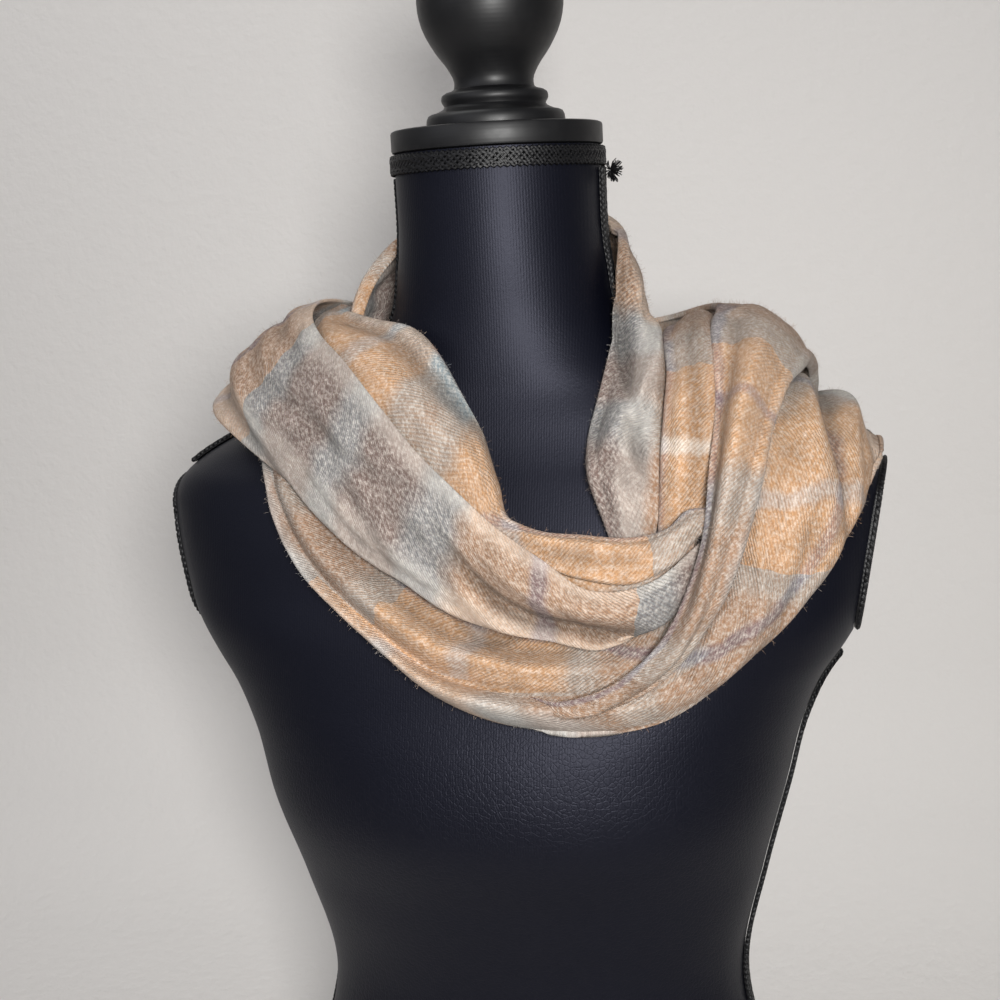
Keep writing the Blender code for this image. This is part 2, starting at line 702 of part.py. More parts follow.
def main():
    clear_scene()
    scene_collection = bpy.context.scene.collection
    parts = bpy.data.collections.new("plaid_scarf_on_dress_form")
    helpers = bpy.data.collections.new("cutters")
    scene_collection.children.link(parts)
    scene_collection.children.link(helpers)

    jersey = make_material("black_jersey", "101114", 0.62)
    lacquer = make_material("black_lacquered_wood", "0D0D0F", 0.32)
    braid = make_material("black_braid", "0B0B0C", 0.75)

    build_torso(jersey, parts, helpers)
    build_turned("neck_cap", CAP_PROFILE, CAP_STEPS, lacquer, parts)
    build_turned("finial", FINIAL_PROFILE, FINIAL_STEPS, lacquer, parts)
    build_neck_braid(braid, parts)
    for word, side in (("left", -1), ("right", 1)):
        build_side_braid(f"neck_braid_{word}", side, NECK_BRAID_RINGS, braid, parts)
        build_arm_braid(f"arm_braid_{word}", side, braid, parts)
        build_side_braid(f"side_braid_{word}", side, SIDE_BRAID_RINGS, braid, parts)
    build_tuft(braid, parts)

    for number, piece in enumerate(CLOTH_PIECES):
        cloth = make_material(f"brushed_plaid_{number + 1}", "B79A7F", 0.92)
        build_cloth(*piece, cloth, parts)


main()
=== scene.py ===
"""The looks of a plaid scarf wound twice round the neck of a limbless dress form.

The tables are in millimetres, in the CAD's frame: the origin is the centre of the form's flat
bottom, +Z is up, and the front of the form faces -Y. MM turns them to metres.
"""

import math

import bmesh
import bpy
import numpy as np
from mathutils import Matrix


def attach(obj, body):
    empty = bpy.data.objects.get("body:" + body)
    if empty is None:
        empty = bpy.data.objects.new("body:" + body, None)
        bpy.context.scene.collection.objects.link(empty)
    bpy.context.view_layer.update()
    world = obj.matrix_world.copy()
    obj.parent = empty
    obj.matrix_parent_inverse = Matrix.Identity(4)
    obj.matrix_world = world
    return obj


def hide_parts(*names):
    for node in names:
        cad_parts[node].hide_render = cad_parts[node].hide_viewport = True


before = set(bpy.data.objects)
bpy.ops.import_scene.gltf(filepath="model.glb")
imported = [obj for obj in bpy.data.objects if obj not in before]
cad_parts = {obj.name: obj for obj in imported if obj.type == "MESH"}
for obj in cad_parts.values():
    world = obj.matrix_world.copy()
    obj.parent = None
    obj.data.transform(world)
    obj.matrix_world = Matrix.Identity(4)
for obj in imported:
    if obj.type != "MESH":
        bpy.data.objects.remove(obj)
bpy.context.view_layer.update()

MM = 0.001

# Driving sizes of the cloth.
CLOTH_WALL = 1.8
FORM_CLEARANCE = 2.3

# How far apart the points of a stretch of cloth lie along it and across it, how many round off each
# rim of its wall, and how many rows of its table a closed stretch laps over itself.
CLOTH_STEP_ALONG = 2.6
CLOTH_STEP_ACROSS = 1.9
RIM_POINTS = 3
CLOSED_LAP = 3

# An open end starts this far inside its table, as it does in the CAD.
END_TRIM = 0.3

# The raised nap: fibres for each point of the cloth, the least and greatest length, the radius of
# a fibre, how many points it is drawn with, and how far it sags and leans over. Real fibres are
# thinner and far more.
NAP_SHARE = 0.30
NAP_LENGTHS = (0.8, 2.6)
NAP_RADIUS = 0.05
NAP_POINTS = 3
NAP_SAG = 0.4
NAP_LEAN = 0.8

# How much painted shade each millimetre of a trough puts on the cloth, darkening its colour, and the most
# that it does.
FOLD_SHADE = 0.10
FOLD_SHADE_LIMIT = 0.5

# How the lift of a soft fold and of a crease rises from its ends, as a power of a half wave. A
# crease has a narrower middle than a fold, and a shoulder either side of it.
FOLD_RISE = 0.6
CREASE_RISE = 0.5
CREASE_NARROWING = 1.25
SHOULDER_SHARE = 0.30
SHOULDER_OUT = 1.5

# The small unevenness of soft cloth: how long its waves are and how high, how many there are of
# each, how far their direction wanders, and how much longer they are along the cloth. On a stretch
# that runs round into its own start they fade out over a length there.
LUMP_COLUMNS = ("wave_length", "height")
LUMPS = (
    (70, 0.55),
    (46, 0.40),
    (31, 0.30),
    (19, 0.18),
    (11, 0.09),
)
LUMP_WAVES = 3
LUMP_SLANT = 0.9
LUMP_STRETCH = 0.45
JOIN_FADE = 30.0

# A tuck fades in and out over this many table rows, and runs over this share of the face.
TUCK_FADE = 1.5
TUCK_SPAN = 0.05

# The cloth's outer side looks away from the form's axis and, by this much in millimetres, upwards.
FACE_LIFT = np.array((0.0, 0.0, 45.0))

# Driving sizes of the form, how many sides its cover has, how far off its distance is probed, and
# the gap under what is seated on it.
NECK_RADIUS = 56.0
NECK_TOP = 671.0
TORSO_SIDES = 160
PROBE_STEP = 0.5
SEAT_GAP = 0.3

# How far apart the rings of the torso are: from a height, up to a height, and the step.
TORSO_LEVELS = ((0, 380, 6.0), (380, 600, 2.5), (600, NECK_TOP, 6.0))

# The form's level sections, from the flat bottom to the top of the neck.
FORM_COLUMNS = ("height", "half_width", "front", "back", "middle", "squareness")
FORM_SECTIONS = (
    (0, 150, 98, 104, 0, 2.3),
    (12, 156, 102, 109, 0, 2.3),
    (45, 158, 102, 110, 0, 2.3),
    (120, 142, 93, 98, 0, 2.3),
    (210, 121, 82, 80, 0, 2.2),
    (270, 134, 100, 88, 0, 2.2),
    (320, 148, 119, 95, 0, 2.2),
    (360, 159, 116, 100, 4, 2.2),
    (385, 171, 108, 103, 8, 2.3),
    (400, 182, 104, 104, 10, 2.3),
    (420, 193, 98, 104, 13, 2.4),
    (440, 200, 91, 104, 16, 2.4),
    (475, 206, 80, 100, 20, 2.5),
    (488, 206, 75, 96, 20, 2.5),
    (498, 200, 71, 92, 20, 2.5),
    (508, 187, 67, 88, 19, 2.4),
    (517, 170, 64, 84, 17, 2.4),
    (530, 142, 61, 76, 13, 2.3),
    (545, 108, 58, 68, 8, 2.2),
    (560, 82, 57, 62, 4, 2.1),
    (580, 65, 56, 58, 0, 2.0),
    (610, 58, 56, 56, 0, 2.0),
    (671, 56, 56, 56, 0, 2.0),
)

# Each arm end is cut flat by a plane that leans in towards its bottom.
ARM_PLANE_OUT = 193.5
ARM_PLANE_HEIGHT = 455.0
ARM_PLANE_LEAN = 0.17

# How a flat arm end's lowest and highest point are looked for: from, to, and how many heights.
ARM_SEARCH = (380.0, 520.0, 561)

# Braid sewn on the form: the width and thickness of each, and the heights that it runs between.
BRAID_WIDTH = 11.0
BRAID_THICKNESS = 2.6
ARM_BRAID_WIDTH = 9.0
ARM_BRAID_THICKNESS = 3.6
NECK_BRAID_SPAN = (658.8, 503.0)
SIDE_BRAID_SPAN = (394.0, 12.0)

# How many points the line of a straight braid and of a round one has.
STRAIGHT_POINTS = 60
NECK_RING_POINTS = 120
ARM_RING_POINTS = 90

# The gimp that the braid is made of: the radius of its cords, how far apart its loops are, how few
# loops it may have, how many points each loop has, and how many sides a cord.
GIMP_CORD = 1.1
GIMP_PITCH = 6.6
GIMP_LEAST_LOOPS = 4
GIMP_POINTS = 12
GIMP_SIDES = 6

# How far the looping cords lean, as a share of their pitch, and where the two cords down the
# middle lie: out from it as a share of the width, how far they sway, and how high in the braid. A
# strip of tape under them fills the gaps.
GIMP_LEAN = 0.30
GIMP_CORE_OUT = 0.22
GIMP_CORE_SWAY = 0.5
GIMP_CORE_RISE = 0.62
TAPE_THICKNESS = 0.8

# The frayed end of the right neck braid: its threads, their radius, where they reach, from which
# and to which shares of that reach each one runs, how far it bends, how far in it is rooted, and
# how it is drawn.
TUFT_THREADS = 90
TUFT_THREAD = 0.28
TUFT_CENTRE = np.array((64.4, -5.0, 657.0))
TUFT_REACH = np.array((5.5, 4.0, 7.0))
TUFT_ROOT = np.array((0.15, 0.3, 0.15))
TUFT_LENGTHS = (0.75, 1.0)
TUFT_BEND = 1.3
TUFT_INSET = np.array((1.5, 0.0, 0.0))
TUFT_POINTS = 6
TUFT_SIDES = 4
TUFT_SEED = 7

# The edges of a form piece look soft below these angles between its faces.
COVER_SMOOTH = 50
TURNED_SMOOTH = 40
BRAID_SMOOTH = 60

# The turned cap and finial, as radius and height, from the top down.
CAP_OUTLINE = (
    (20, 683.6),
    (50, 683.6),
    (56.0, 683.4),
    (57.1, 682.9),
    (57.5, 682.0),
    (57.5, 673.0),
    (57.1, 672.0),
    (56.0, 671.5),
    (50, 671.4),
)
CAP_SIDES = 120
FINIAL_STEPS = 3
FINIAL_OUTLINE = (
    (2, 790),
    (9, 789),
    (20, 784),
    (30, 775),
    (37, 763),
    (39.5, 750),
    (37.5, 737),
    (31, 724),
    (24, 714),
    (21.5, 708),
    (22, 704),
    (28.5, 701),
    (29, 698),
    (27.5, 695),
    (32, 692),
    (36.5, 690.5),
    (37.5, 684),
    (20, 684),
)

# A rolled edge is an arc about its own radius, between these two angles from the face.
ROLL_START = 0.15
ROLL_END = math.radians(140)

# How many points a section is drawn with, on its face and on each roll, before it is evened out.
FACE_POINTS = 61
ROLL_POINTS = 21

# How many times a point that would sink into the form is moved out.
REST_PASSES = 4

# One row for each section of a stretch of cloth. Inner is the edge next to the neck, or the upper
# edge, and outer is the other edge. Bulge is how far the middle of the face stands out, and the
# rolls are the radii of the rounded edges, where the cloth turns under.
CLOTH_COLUMNS = (
    "inner_x", "inner_y", "inner_z", "outer_x", "outer_y", "outer_z", "bulge", "inner_roll", "outer_roll",
)
LONG_BAND = (
    (117, -103, 474, 113, -111, 446, 2, 0, 3),
    (95, -118, 458, 95, -120, 433, 3, 0, 4),
    (66, -131, 457, 68, -128, 426, 4, 0, 5),
    (43, -129, 471, 43, -129, 431, 4, 0, 5),
    (22, -126, 485, 20, -129, 435, 5, 0, 6),
    (0, -119, 503, -4, -127, 442, 5, 0, 6),
    (-21, -112, 521, -30, -121, 456, 5, 0, 6),
    (-44, -101, 545, -54, -115, 469, 6, 0, 6),
    (-66, -86, 566, -77, -107, 485, 6, 0, 6),
    (-84, -68, 578, -102, -94, 506, 7, 0, 6),
    (-96, -48, 588, -133, -75, 525, 8, 0, 6),
    (-102, -24, 594, -158, -48, 536, 9, 0, 6),
    (-103, 2, 595, -171, -12, 538, 10, 0, 6),
    (-100, 28, 592, -169, 28, 530, 9, 0, 5),
    (-93, 57, 585, -158, 77, 504, 8, 1, 5),
    (-72, 84, 576, -118, 113, 481, 9, 3, 5),
    (-38, 100, 568, -64, 127, 465, 8, 3, 5),
    (0, 105, 565, 0, 133, 459, 8, 3, 5),
    (40, 102, 568, 66, 129, 465, 8, 3, 5),
    (80, 86, 575, 122, 112, 482, 8, 3, 5),
    (104, 59, 582, 161, 87, 517, 9, 3, 5),
    (114, 28, 584, 169, 39, 546, 8, 3, 5),
    (117, 0, 582, 168, 4, 556, 9, 3, 5),
    (117, -28, 577, 166, -32, 556, 9, 3, 5),
    (120, -56, 563, 159, -64, 550, 9, 3, 5),
    (123, -79, 541, 152, -88, 530, 9, 3, 5),
    (121, -101, 510, 147, -107, 505, 9, 3, 5),
    (117, -116, 474, 137, -121, 470, 8, 3, 5),
    (107, -128, 444, 127, -127, 446, 7, 3, 5),
    (92, -135, 422, 109, -130, 418, 6, 3, 4),
    (71, -139, 407, 86, -132, 401, 5, 3, 4),
    (50, -137, 401, 58, -132, 392, 3, 2, 2),
    (32, -126, 401, 38, -122, 394, 2, 1, 1),
)
LOWER_RING = (
    (58, -106, 432, 58, -126, 384, 9, 0, 7),
    (88, -104, 432, 96, -117, 387, 9, 0, 7),
    (110, -100, 446, 128, -103, 404, 9, 0, 7),
    (124, -94, 464, 158, -86, 429, 9, 0, 7),
    (136, -86, 484, 178, -77, 453, 10, 0, 7),
    (146, -76, 511, 191, -65, 474, 10, 0, 7),
    (150, -54, 531, 198, -44, 487, 9, 0, 6),
    (151, -24, 542, 200, -18, 500, 9, 0, 5),
    (151, 2, 544, 199, 8, 505, 9, 0, 5),
    (145, 32, 536, 192, 41, 508, 8, 0, 5),
    (137, 45, 529, 189, 63, 496, 8, 0, 5),
    (130, 62, 525, 175, 82, 468, 8, 0, 6),
    (106, 89, 500, 130, 104, 438, 7, 0, 6),
    (66, 100, 484, 74, 119, 421, 7, 0, 6),
    (0, 105, 474, 0, 124, 414, 7, 0, 6),
    (-66, 100, 480, -74, 118, 424, 7, 0, 6),
    (-104, 92, 490, -120, 105, 446, 6, 0, 5),
    (-120, 85, 499, -134, 87, 479, 1, 0, 3),
    (-121, 56, 531, -134, 58, 525, 1, 0, 2),
    (-118, 26, 547, -136, 28, 541, 1, 0, 2),
    (-112, -4, 549, -137, -6, 541, 2, 0, 3),
    (-104, -34, 540, -137, -36, 521, 3, 0, 3),
    (-92, -60, 523, -125, -62, 509, 5, 0, 5),
    (-78, -80, 500, -112, -83, 484, 6, 0, 6),
    (-60, -91, 481, -94, -97, 459, 7, 0, 7),
    (-42, -98, 463, -69, -108, 438, 8, 0, 7),
    (-24, -103, 450, -43, -117, 419, 9, 0, 7),
    (-4, -106, 441, -18, -124, 402, 9, 0, 7),
    (20, -107, 435, 13, -127, 390, 9, 0, 7),
    (40, -107, 433, 38, -127, 386, 9, 0, 7),
    (58, -106, 432, 58, -126, 384, 9, 0, 7),
)
NECK_TURN = (
    (-76, -34, 572, -82, -36, 562, 1, 2, 0),
    (-82, -18, 588, -86, -18, 571, 1, 3, 0),
    (-80, -4, 606, -88, 2, 574, 2, 4, 0),
    (-73, 10, 621, -86, 22, 574, 3, 5, 0),
    (-63, 28, 635, -77, 46, 568, 5, 6, 0),
    (-48, 50, 642, -61, 72, 562, 7, 6, 0),
    (-26, 66, 643, -34, 90, 558, 8, 6, 0),
    (0, 72, 642, 0, 95, 556, 8, 6, 0),
    (30, 64, 641, 37, 87, 558, 7, 6, 0),
    (50, 46, 637, 61, 64, 564, 4, 6, 0),
    (61, 26, 631, 73, 40, 571, 3, 6, 0),
    (68, 6, 622, 79, 14, 574, 2, 5, 0),
    (72, -12, 608, 83, -10, 572, 2, 5, 0),
    (71, -31, 586, 88, -28, 566, 4, 5, 0),
    (66, -50, 563, 95, -47, 552, 7, 5, 0),
    (62, -64, 544, 97, -62, 535, 8, 5, 0),
    (57, -75, 522, 97, -76, 511, 8, 5, 0),
    (59, -85, 503, 95, -86, 490, 6, 5, 0),
    (66, -90, 484, 92, -89, 472, 3, 4, 0),
    (72, -90, 466, 90, -90, 458, 2, 3, 0),
)
UPPER_BAND = (
    (-95, 46, 572, -103, 50, 572, 2, 2, 0),
    (-92, 18, 588, -101, 22, 586, 2, 3, 0),
    (-89, -8, 593, -101, -8, 588, 3, 4, 0),
    (-82, -32, 592, -101, -36, 577, 5, 5, 0),
    (-62, -50, 588, -94, -62, 562, 6, 6, 0),
    (-36, -63, 583, -76, -82, 545, 7, 6, 0),
    (-19, -76, 570, -53, -95, 522, 8, 6, 0),
    (-5, -84, 549, -31, -103, 500, 8, 6, 0),
    (6, -91, 529, -11, -107, 482, 8, 6, 0),
    (13, -98, 508, 6, -112, 473, 7, 5, 0),
    (20, -106, 491, 23, -118, 472, 5, 4, 1),
    (36, -111, 484, 40, -124, 469, 5, 4, 2),
    (62, -115, 482, 63, -129, 463, 6, 4, 3),
    (86, -111, 480, 89, -124, 460, 6, 4, 3),
    (102, -107, 484, 109, -118, 471, 5, 4, 3),
    (112, -101, 491, 118, -106, 479, 3, 3, 2),
    (124, -95, 490, 126, -98, 478, 2, 2, 1),
    (134, -88, 489, 135, -90, 479, 2, 2, 1),
)
SECOND_ROLL = (
    (22, -104, 474, 24, -114, 452, 2, 0, 0),
    (42, -109, 470, 45, -123, 444, 4, 0, 0),
    (64, -110, 466, 68, -127, 440, 6, 0, 0),
    (86, -106, 463, 92, -118, 440, 6, 0, 0),
    (102, -99, 470, 107, -104, 452, 4, 0, 0),
    (110, -94, 481, 115, -98, 469, 2, 0, 0),
)
PLEAT_ONE = (
    (98, 62, 550, 116, 62, 546, 4, 2, 2),
    (93, 36, 566, 119, 38, 556, 10, 3, 3),
    (90, 14, 573, 120, 17, 563, 13, 4, 3),
    (90, -12, 574, 121, -10, 564, 14, 4, 4),
    (93, -37, 569, 123, -34, 560, 13, 4, 4),
    (97, -57, 557, 126, -53, 551, 10, 4, 4),
    (97, -75, 538, 128, -72, 536, 9, 4, 4),
    (96, -86, 514, 128, -83, 513, 8, 4, 3),
    (95, -89, 490, 121, -87, 490, 5, 3, 3),
    (93, -88, 468, 112, -87, 468, 2, 2, 2),
)

# The soft folds that each stretch keeps from its CAD piece. One row for each: its first and last
# row, where it lies across the face at each end, its width, and how far it stands out or in.
FOLD_COLUMNS = ("first_row", "last_row", "across_first", "across_last", "width", "height")
LONG_BAND_FOLDS = (
    (12.0, 18.0, 0.35, 0.45, 16, 4.0),
    (13.0, 21.0, 0.75, 0.65, 12, -4.0),
    (14.5, 20.0, 0.15, 0.22, 9, -2.5),
    (23.0, 27.0, 0.45, 0.50, 14, 3.0),
)
LOWER_RING_FOLDS = (
    (11.0, 17.0, 0.40, 0.50, 14, -4.0),
    (12.5, 19.0, 0.72, 0.80, 8, -2.5),
    (10.0, 14.0, 0.20, 0.12, 10, 2.0),
)
NECK_TURN_FOLDS = (
    (3.0, 10.0, 0.55, 0.60, 12, -3.0),
    (4.5, 11.0, 0.25, 0.32, 9, -2.0),
)
UPPER_BAND_FOLDS = ((0.5, 4.0, 0.55, 0.45, 8, -1.5),)
PLEAT_ONE_FOLDS = ((2.0, 8.0, 0.50, 0.62, 7, -1.6),)
NO_FOLDS = ()

# The creases and rolls that show, each as its width, how far it stands out or in, and the places
# it runs through, as table rows and shares across the face.
LONG_BAND_CREASES = (
    (8, -6.5, ((-0.2, 1.08), (0.9, 0.96), (1.8, 0.58), (3.2, 0.66), (4.7, 0.46), (5.6, 0.30))),
    (11, 3.4, ((0.2, 0.28), (1.6, 0.26), (3.0, 0.36), (4.4, 0.20), (5.2, 0.10))),
    (10, 2.6, ((0.6, 0.80), (2.2, 0.94), (3.8, 0.92), (5.4, 0.78), (6.6, 0.62))),
    (6, -2.4, ((3.6, 0.92), (5.2, 0.80), (7.0, 0.82), (8.6, 0.70))),
    (8, -2.4, ((6.0, 0.26), (7.6, 0.42), (9.0, 0.44), (10.6, 0.56))),
    (9, -5.0, ((8.6, 0.96), (10.0, 0.82), (11.6, 0.74), (13.0, 0.60))),
    (7, -2.4, ((9.4, 0.20), (11.2, 0.24), (12.6, 0.30))),
    (12, 2.6, ((9.2, 0.62), (10.6, 0.66), (12.0, 0.50))),
    (7, -5.0, ((22.6, 0.22), (24.0, 0.30), (25.4, 0.26), (27.0, 0.30), (29.0, 0.42), (30.4, 0.60))),
    (5, -2.2, ((24.2, 0.80), (26.0, 0.70), (27.6, 0.76), (29.4, 0.74))),
    (7, 2.2, ((23.6, 0.54), (25.4, 0.50), (27.6, 0.54), (29.6, 0.58))),
)
LOWER_RING_CREASES = (
    (6, -6.0, (
        (21.6, 0.72), (22.6, 0.70), (23.9, 0.68), (25.2, 0.66), (26.6, 0.66), (27.7, 0.60),
        (30.1, 0.55), (31.2, 0.50),
    )),
    (5, -5.0, (
        (25.0, 1.04), (26.3, 0.98), (27.6, 0.90), (29.1, 0.88), (30.3, 0.84), (31.5, 0.82), (32.3, 0.88),
    )),
    (13, 10.0, (
        (21.8, 0.90), (23.6, 0.84), (25.4, 0.80), (27.4, 0.77), (29.4, 0.73), (31.0, 0.68), (32.2, 0.66),
    )),
    (12, 9.0, ((22.0, 0.50), (23.8, 0.48), (25.8, 0.46), (27.8, 0.42), (30.0, 0.38), (31.0, 0.30))),
    (10, 6.0, ((25.6, 0.81), (27.4, 0.77), (28.6, 0.74), (29.4, 0.72))),
    (7, 3.0, ((26.2, 1.0), (28.0, 1.0), (30.0, 0.97), (31.8, 0.98))),
    (6, -4.0, ((26.9, 0.12), (27.5, 0.18), (28.4, 0.14))),
    (6, -3.0, ((22.0, 0.30), (23.4, 0.34), (25.0, 0.30), (26.6, 0.30), (28.4, 0.24), (30.0, 0.20))),
    (4, -1.8, ((27.0, 0.50), (28.4, 0.46), (29.8, 0.46), (31.0, 0.40))),
    (8, -5.0, ((4.2, 1.02), (4.9, 0.84), (5.8, 0.53), (7.8, 0.34), (9.2, 0.26))),
    (11, 3.6, ((4.6, 0.60), (5.6, 0.30), (7.4, 0.12), (9.0, 0.08))),
    (12, 3.4, ((5.4, 0.86), (6.4, 0.66), (8.2, 0.54), (9.6, 0.52))),
    (6, -3.0, ((4.6, 1.0), (5.2, 0.90), (6.6, 0.92), (7.6, 1.0))),
    (5, 3.6, ((1.8, 0.90), (2.7, 0.61), (3.7, 0.20), (4.6, 0.04))),
    (6, -4.0, ((0.8, 0.66), (1.5, 0.53), (1.9, 0.33), (2.8, 0.20), (3.6, 0.04))),
    (5, -2.6, ((1.6, 1.0), (2.6, 0.86), (3.6, 0.62), (4.6, 0.44))),
    (4, -1.6, ((2.6, 1.0), (3.4, 0.90), (4.4, 0.80))),
    (7, -2.6, ((8.0, 0.70), (9.4, 0.62), (10.8, 0.66))),
    (8, -2.8, ((13.4, 0.22), (15.2, 0.30), (17.4, 0.24), (19.0, 0.30))),
)
NECK_TURN_CREASES = (
    (7, -6.5, ((11.8, 0.16), (12.9, 0.26), (14.2, 0.45), (15.4, 0.60), (16.6, 0.80))),
    (6, -3.0, ((11.4, 0.60), (12.3, 0.64), (13.8, 0.72), (15.3, 0.75))),
    (9, 7.5, ((12.0, 0.92), (13.2, 0.84), (14.7, 0.70), (15.7, 0.50), (16.4, 0.30), (17.2, 0.16))),
    (5, -2.2, ((13.6, 0.10), (15.0, 0.24), (16.4, 0.26), (17.8, 0.40))),
    (6, -2.6, ((2.4, 0.40), (4.6, 0.42), (7.4, 0.34), (10.0, 0.40))),
    (6, -2.2, ((1.0, 0.60), (2.8, 0.72), (5.0, 0.78), (7.6, 0.76))),
)
UPPER_BAND_CREASES = (
    (7, -5.0, ((3.0, 0.42), (4.0, 0.34), (6.3, 0.29), (8.3, 0.10), (9.4, 0.0))),
    (10, 3.0, ((3.6, 0.62), (5.4, 0.58), (7.4, 0.44), (9.4, 0.24))),
    (6, -2.0, ((1.6, 0.56), (3.2, 0.72), (5.4, 0.78))),
    (6, -3.0, ((9.6, 0.58), (11.0, 0.60), (12.6, 0.56), (14.0, 0.58))),
    (8, 2.2, ((10.2, 0.34), (11.6, 0.36), (13.2, 0.32))),
)
SECOND_ROLL_CREASES = ((6, -2.6, ((0.4, 0.40), (2.0, 0.55), (4.4, 0.62))),)
PLEAT_ONE_CREASES = (
    (6, -3.0, ((2.6, 0.46), (4.4, 0.40), (6.4, 0.52), (8.4, 0.58))),
    (5, 1.8, ((3.4, 0.78), (5.4, 0.72), (7.4, 0.80))),
)

# Where a fold hides some of the cloth, so that the sett jumps across it: how much of the weft is
# hidden, in millimetres, and the places it runs through, as for a crease.
LOWER_RING_TUCKS = (
    (35, ((20.0, 0.74), (21.6, 0.72), (23.9, 0.68), (26.6, 0.66), (27.7, 0.60), (30.1, 0.55), (33.0, 0.50))),
    (-20, ((24.0, 1.04), (26.3, 0.98), (27.6, 0.90), (29.1, 0.88), (30.3, 0.84), (31.5, 0.82), (33.0, 0.88))),
)
NO_TUCKS = ()

# Where the woven sett lies on each stretch. One row for each place: the table row, how far along
# the weave (weft) and how far across it (warp) the inner and the outer edge are there.
SETT_COLUMNS = ("row", "weft_inner", "weft_outer", "warp_inner", "warp_outer")
LONG_BAND_SETT = (
    (0.0, -38, -38, 0, 60),
    (1.6, 0, 0, 0, 78),
    (3.3, 44, 44, 0, 82),
    (5.0, 88, 75, 0, 86),
    (6.0, 109, 92, 0, 88),
    (7.0, 146, 122, 0, 88),
    (8.0, 177, 146, 0, 88),
    (9.0, 208, 180, 0, 88),
    (10.0, 238, 222, 0, 88),
    (12.0, 300, 292, 0, 90),
    (17.0, 470, 470, 40, 100),
    (22.0, 662, 662, 138, 76),
    (24.0, 702, 700, 138, 76),
    (25.1, 744, 752, 138, 76),
    (26.3, 786, 800, 138, 76),
    (27.4, 810, 820, 138, 72),
    (28.8, 853, 858, 140, 72),
    (31.0, 892, 892, 140, 78),
)
LOWER_RING_SETT = (
    (0.0, 90, 90, 135, 64),
    (1.0, 136, 124, 150, 82),
    (2.0, 180, 156, 168, 98),
    (3.8, 255, 213, 176, 104),
    (5.3, 303, 253, 174, 102),
    (6.4, 320, 276, 160, 88),
    (8.0, 336, 306, 116, 40),
    (9.2, 356, 330, 90, 10),
    (12.0, 434, 434, 90, 10),
    (16.0, 645, 645, 100, 20),
    (20.0, 770, 770, 120, 45),
    (23.0, 858, 858, 135, 62),
    (24.0, 886, 886, 135, 64),
    (25.9, 936, 936, 135, 64),
    (27.7, 980, 980, 135, 64),
    (30.0, 1026, 1026, 135, 64),
)
NECK_TURN_SETT = (
    (0.0, -200, -200, 98, 20),
    (4.0, -110, -110, 92, 16),
    (10.0, 22, 22, 70, 10),
    (12.0, 62, 60, 42, 92),
    (13.0, 86, 84, 24, 92),
    (14.0, 104, 102, 22, 92),
    (15.3, 148, 152, 22, 92),
    (16.5, 170, 176, 22, 94),
    (19.0, 214, 218, 24, 94),
)
UPPER_BAND_SETT = (
    (0.0, -95, -95, -40, -104),
    (2.0, -42, -38, -40, -104),
    (3.5, 0, 4, -40, -104),
    (5.1, 44, 48, -44, -108),
    (6.2, 86, 88, -44, -108),
    (6.8, 98, 100, -44, -108),
    (7.4, 88, 86, -46, -108),
    (8.4, 66, 66, -58, -108),
    (9.7, 44, 44, -80, -124),
    (12.7, 4, 4, -98, -138),
    (14.0, -14, -14, -98, -138),
    (17.0, -40, -40, -98, -138),
)
SECOND_ROLL_SETT = (
    (0.0, 40, 50, 84, 108),
    (2.6, 84, 90, 82, 106),
    (5.0, 128, 128, 80, 104),
)
PLEAT_ONE_SETT = (
    (0.0, 110, 110, 136, 86),
    (4.2, 212, 212, 136, 86),
    (5.6, 236, 236, 136, 86),
    (7.0, 278, 276, 136, 86),
    (9.0, 324, 324, 136, 86),
)

# The sett, the order of the coloured yarns in one repeat, in millimetres from its start.
REPEAT = 234.0
YARNS = {
    "tan": "AD8561",
    "taupe": "6B5A54",
    "greyblue": "7D878B",
    "cream": "BDB1A7",
    "mauve": "7D6568",
    "white": "DDD6CC",
    "smoke": "A09A98",
}
YARN_COLUMNS = ("start", "yarn")
WEFT_SETT = (
    (0, "tan"),
    (42, "line"),
    (46, "tan"),
    (88, "greyblue"),
    (108, "taupe"),
    (151, "greyblue"),
    (171, "taupe"),
    (214, "greyblue"),
)
WARP_SETT = (
    (0, "cream"),
    (16, "taupe"),
    (66, "cream"),
    (90, "tan"),
    (136, "mauve"),
    (140, "tan"),
    (180, "greyblue"),
    (194, "mauve"),
    (197, "taupe"),
    (224, "cream"),
)
STRIPE_BLUR = 9.0

# The pitches of the fine patterns. Real twill ribs are about 1 mm apart and real wales less, and
# they are drawn coarser, so that they show. The thread's pitch is as on a flat map, and on the
# round cords it shows as 1.8 mm. A wave texture of scale 1 has the pitches below, in metres.
RIB_PITCH = 1.6
WALE_PITCH = 1.4
RING_PITCH = 2.2
THREAD_PITCH = 2.194
WAVE_SCALE = {"X": 0.314, "Z": 0.314, "DIAGONAL": 0.444}

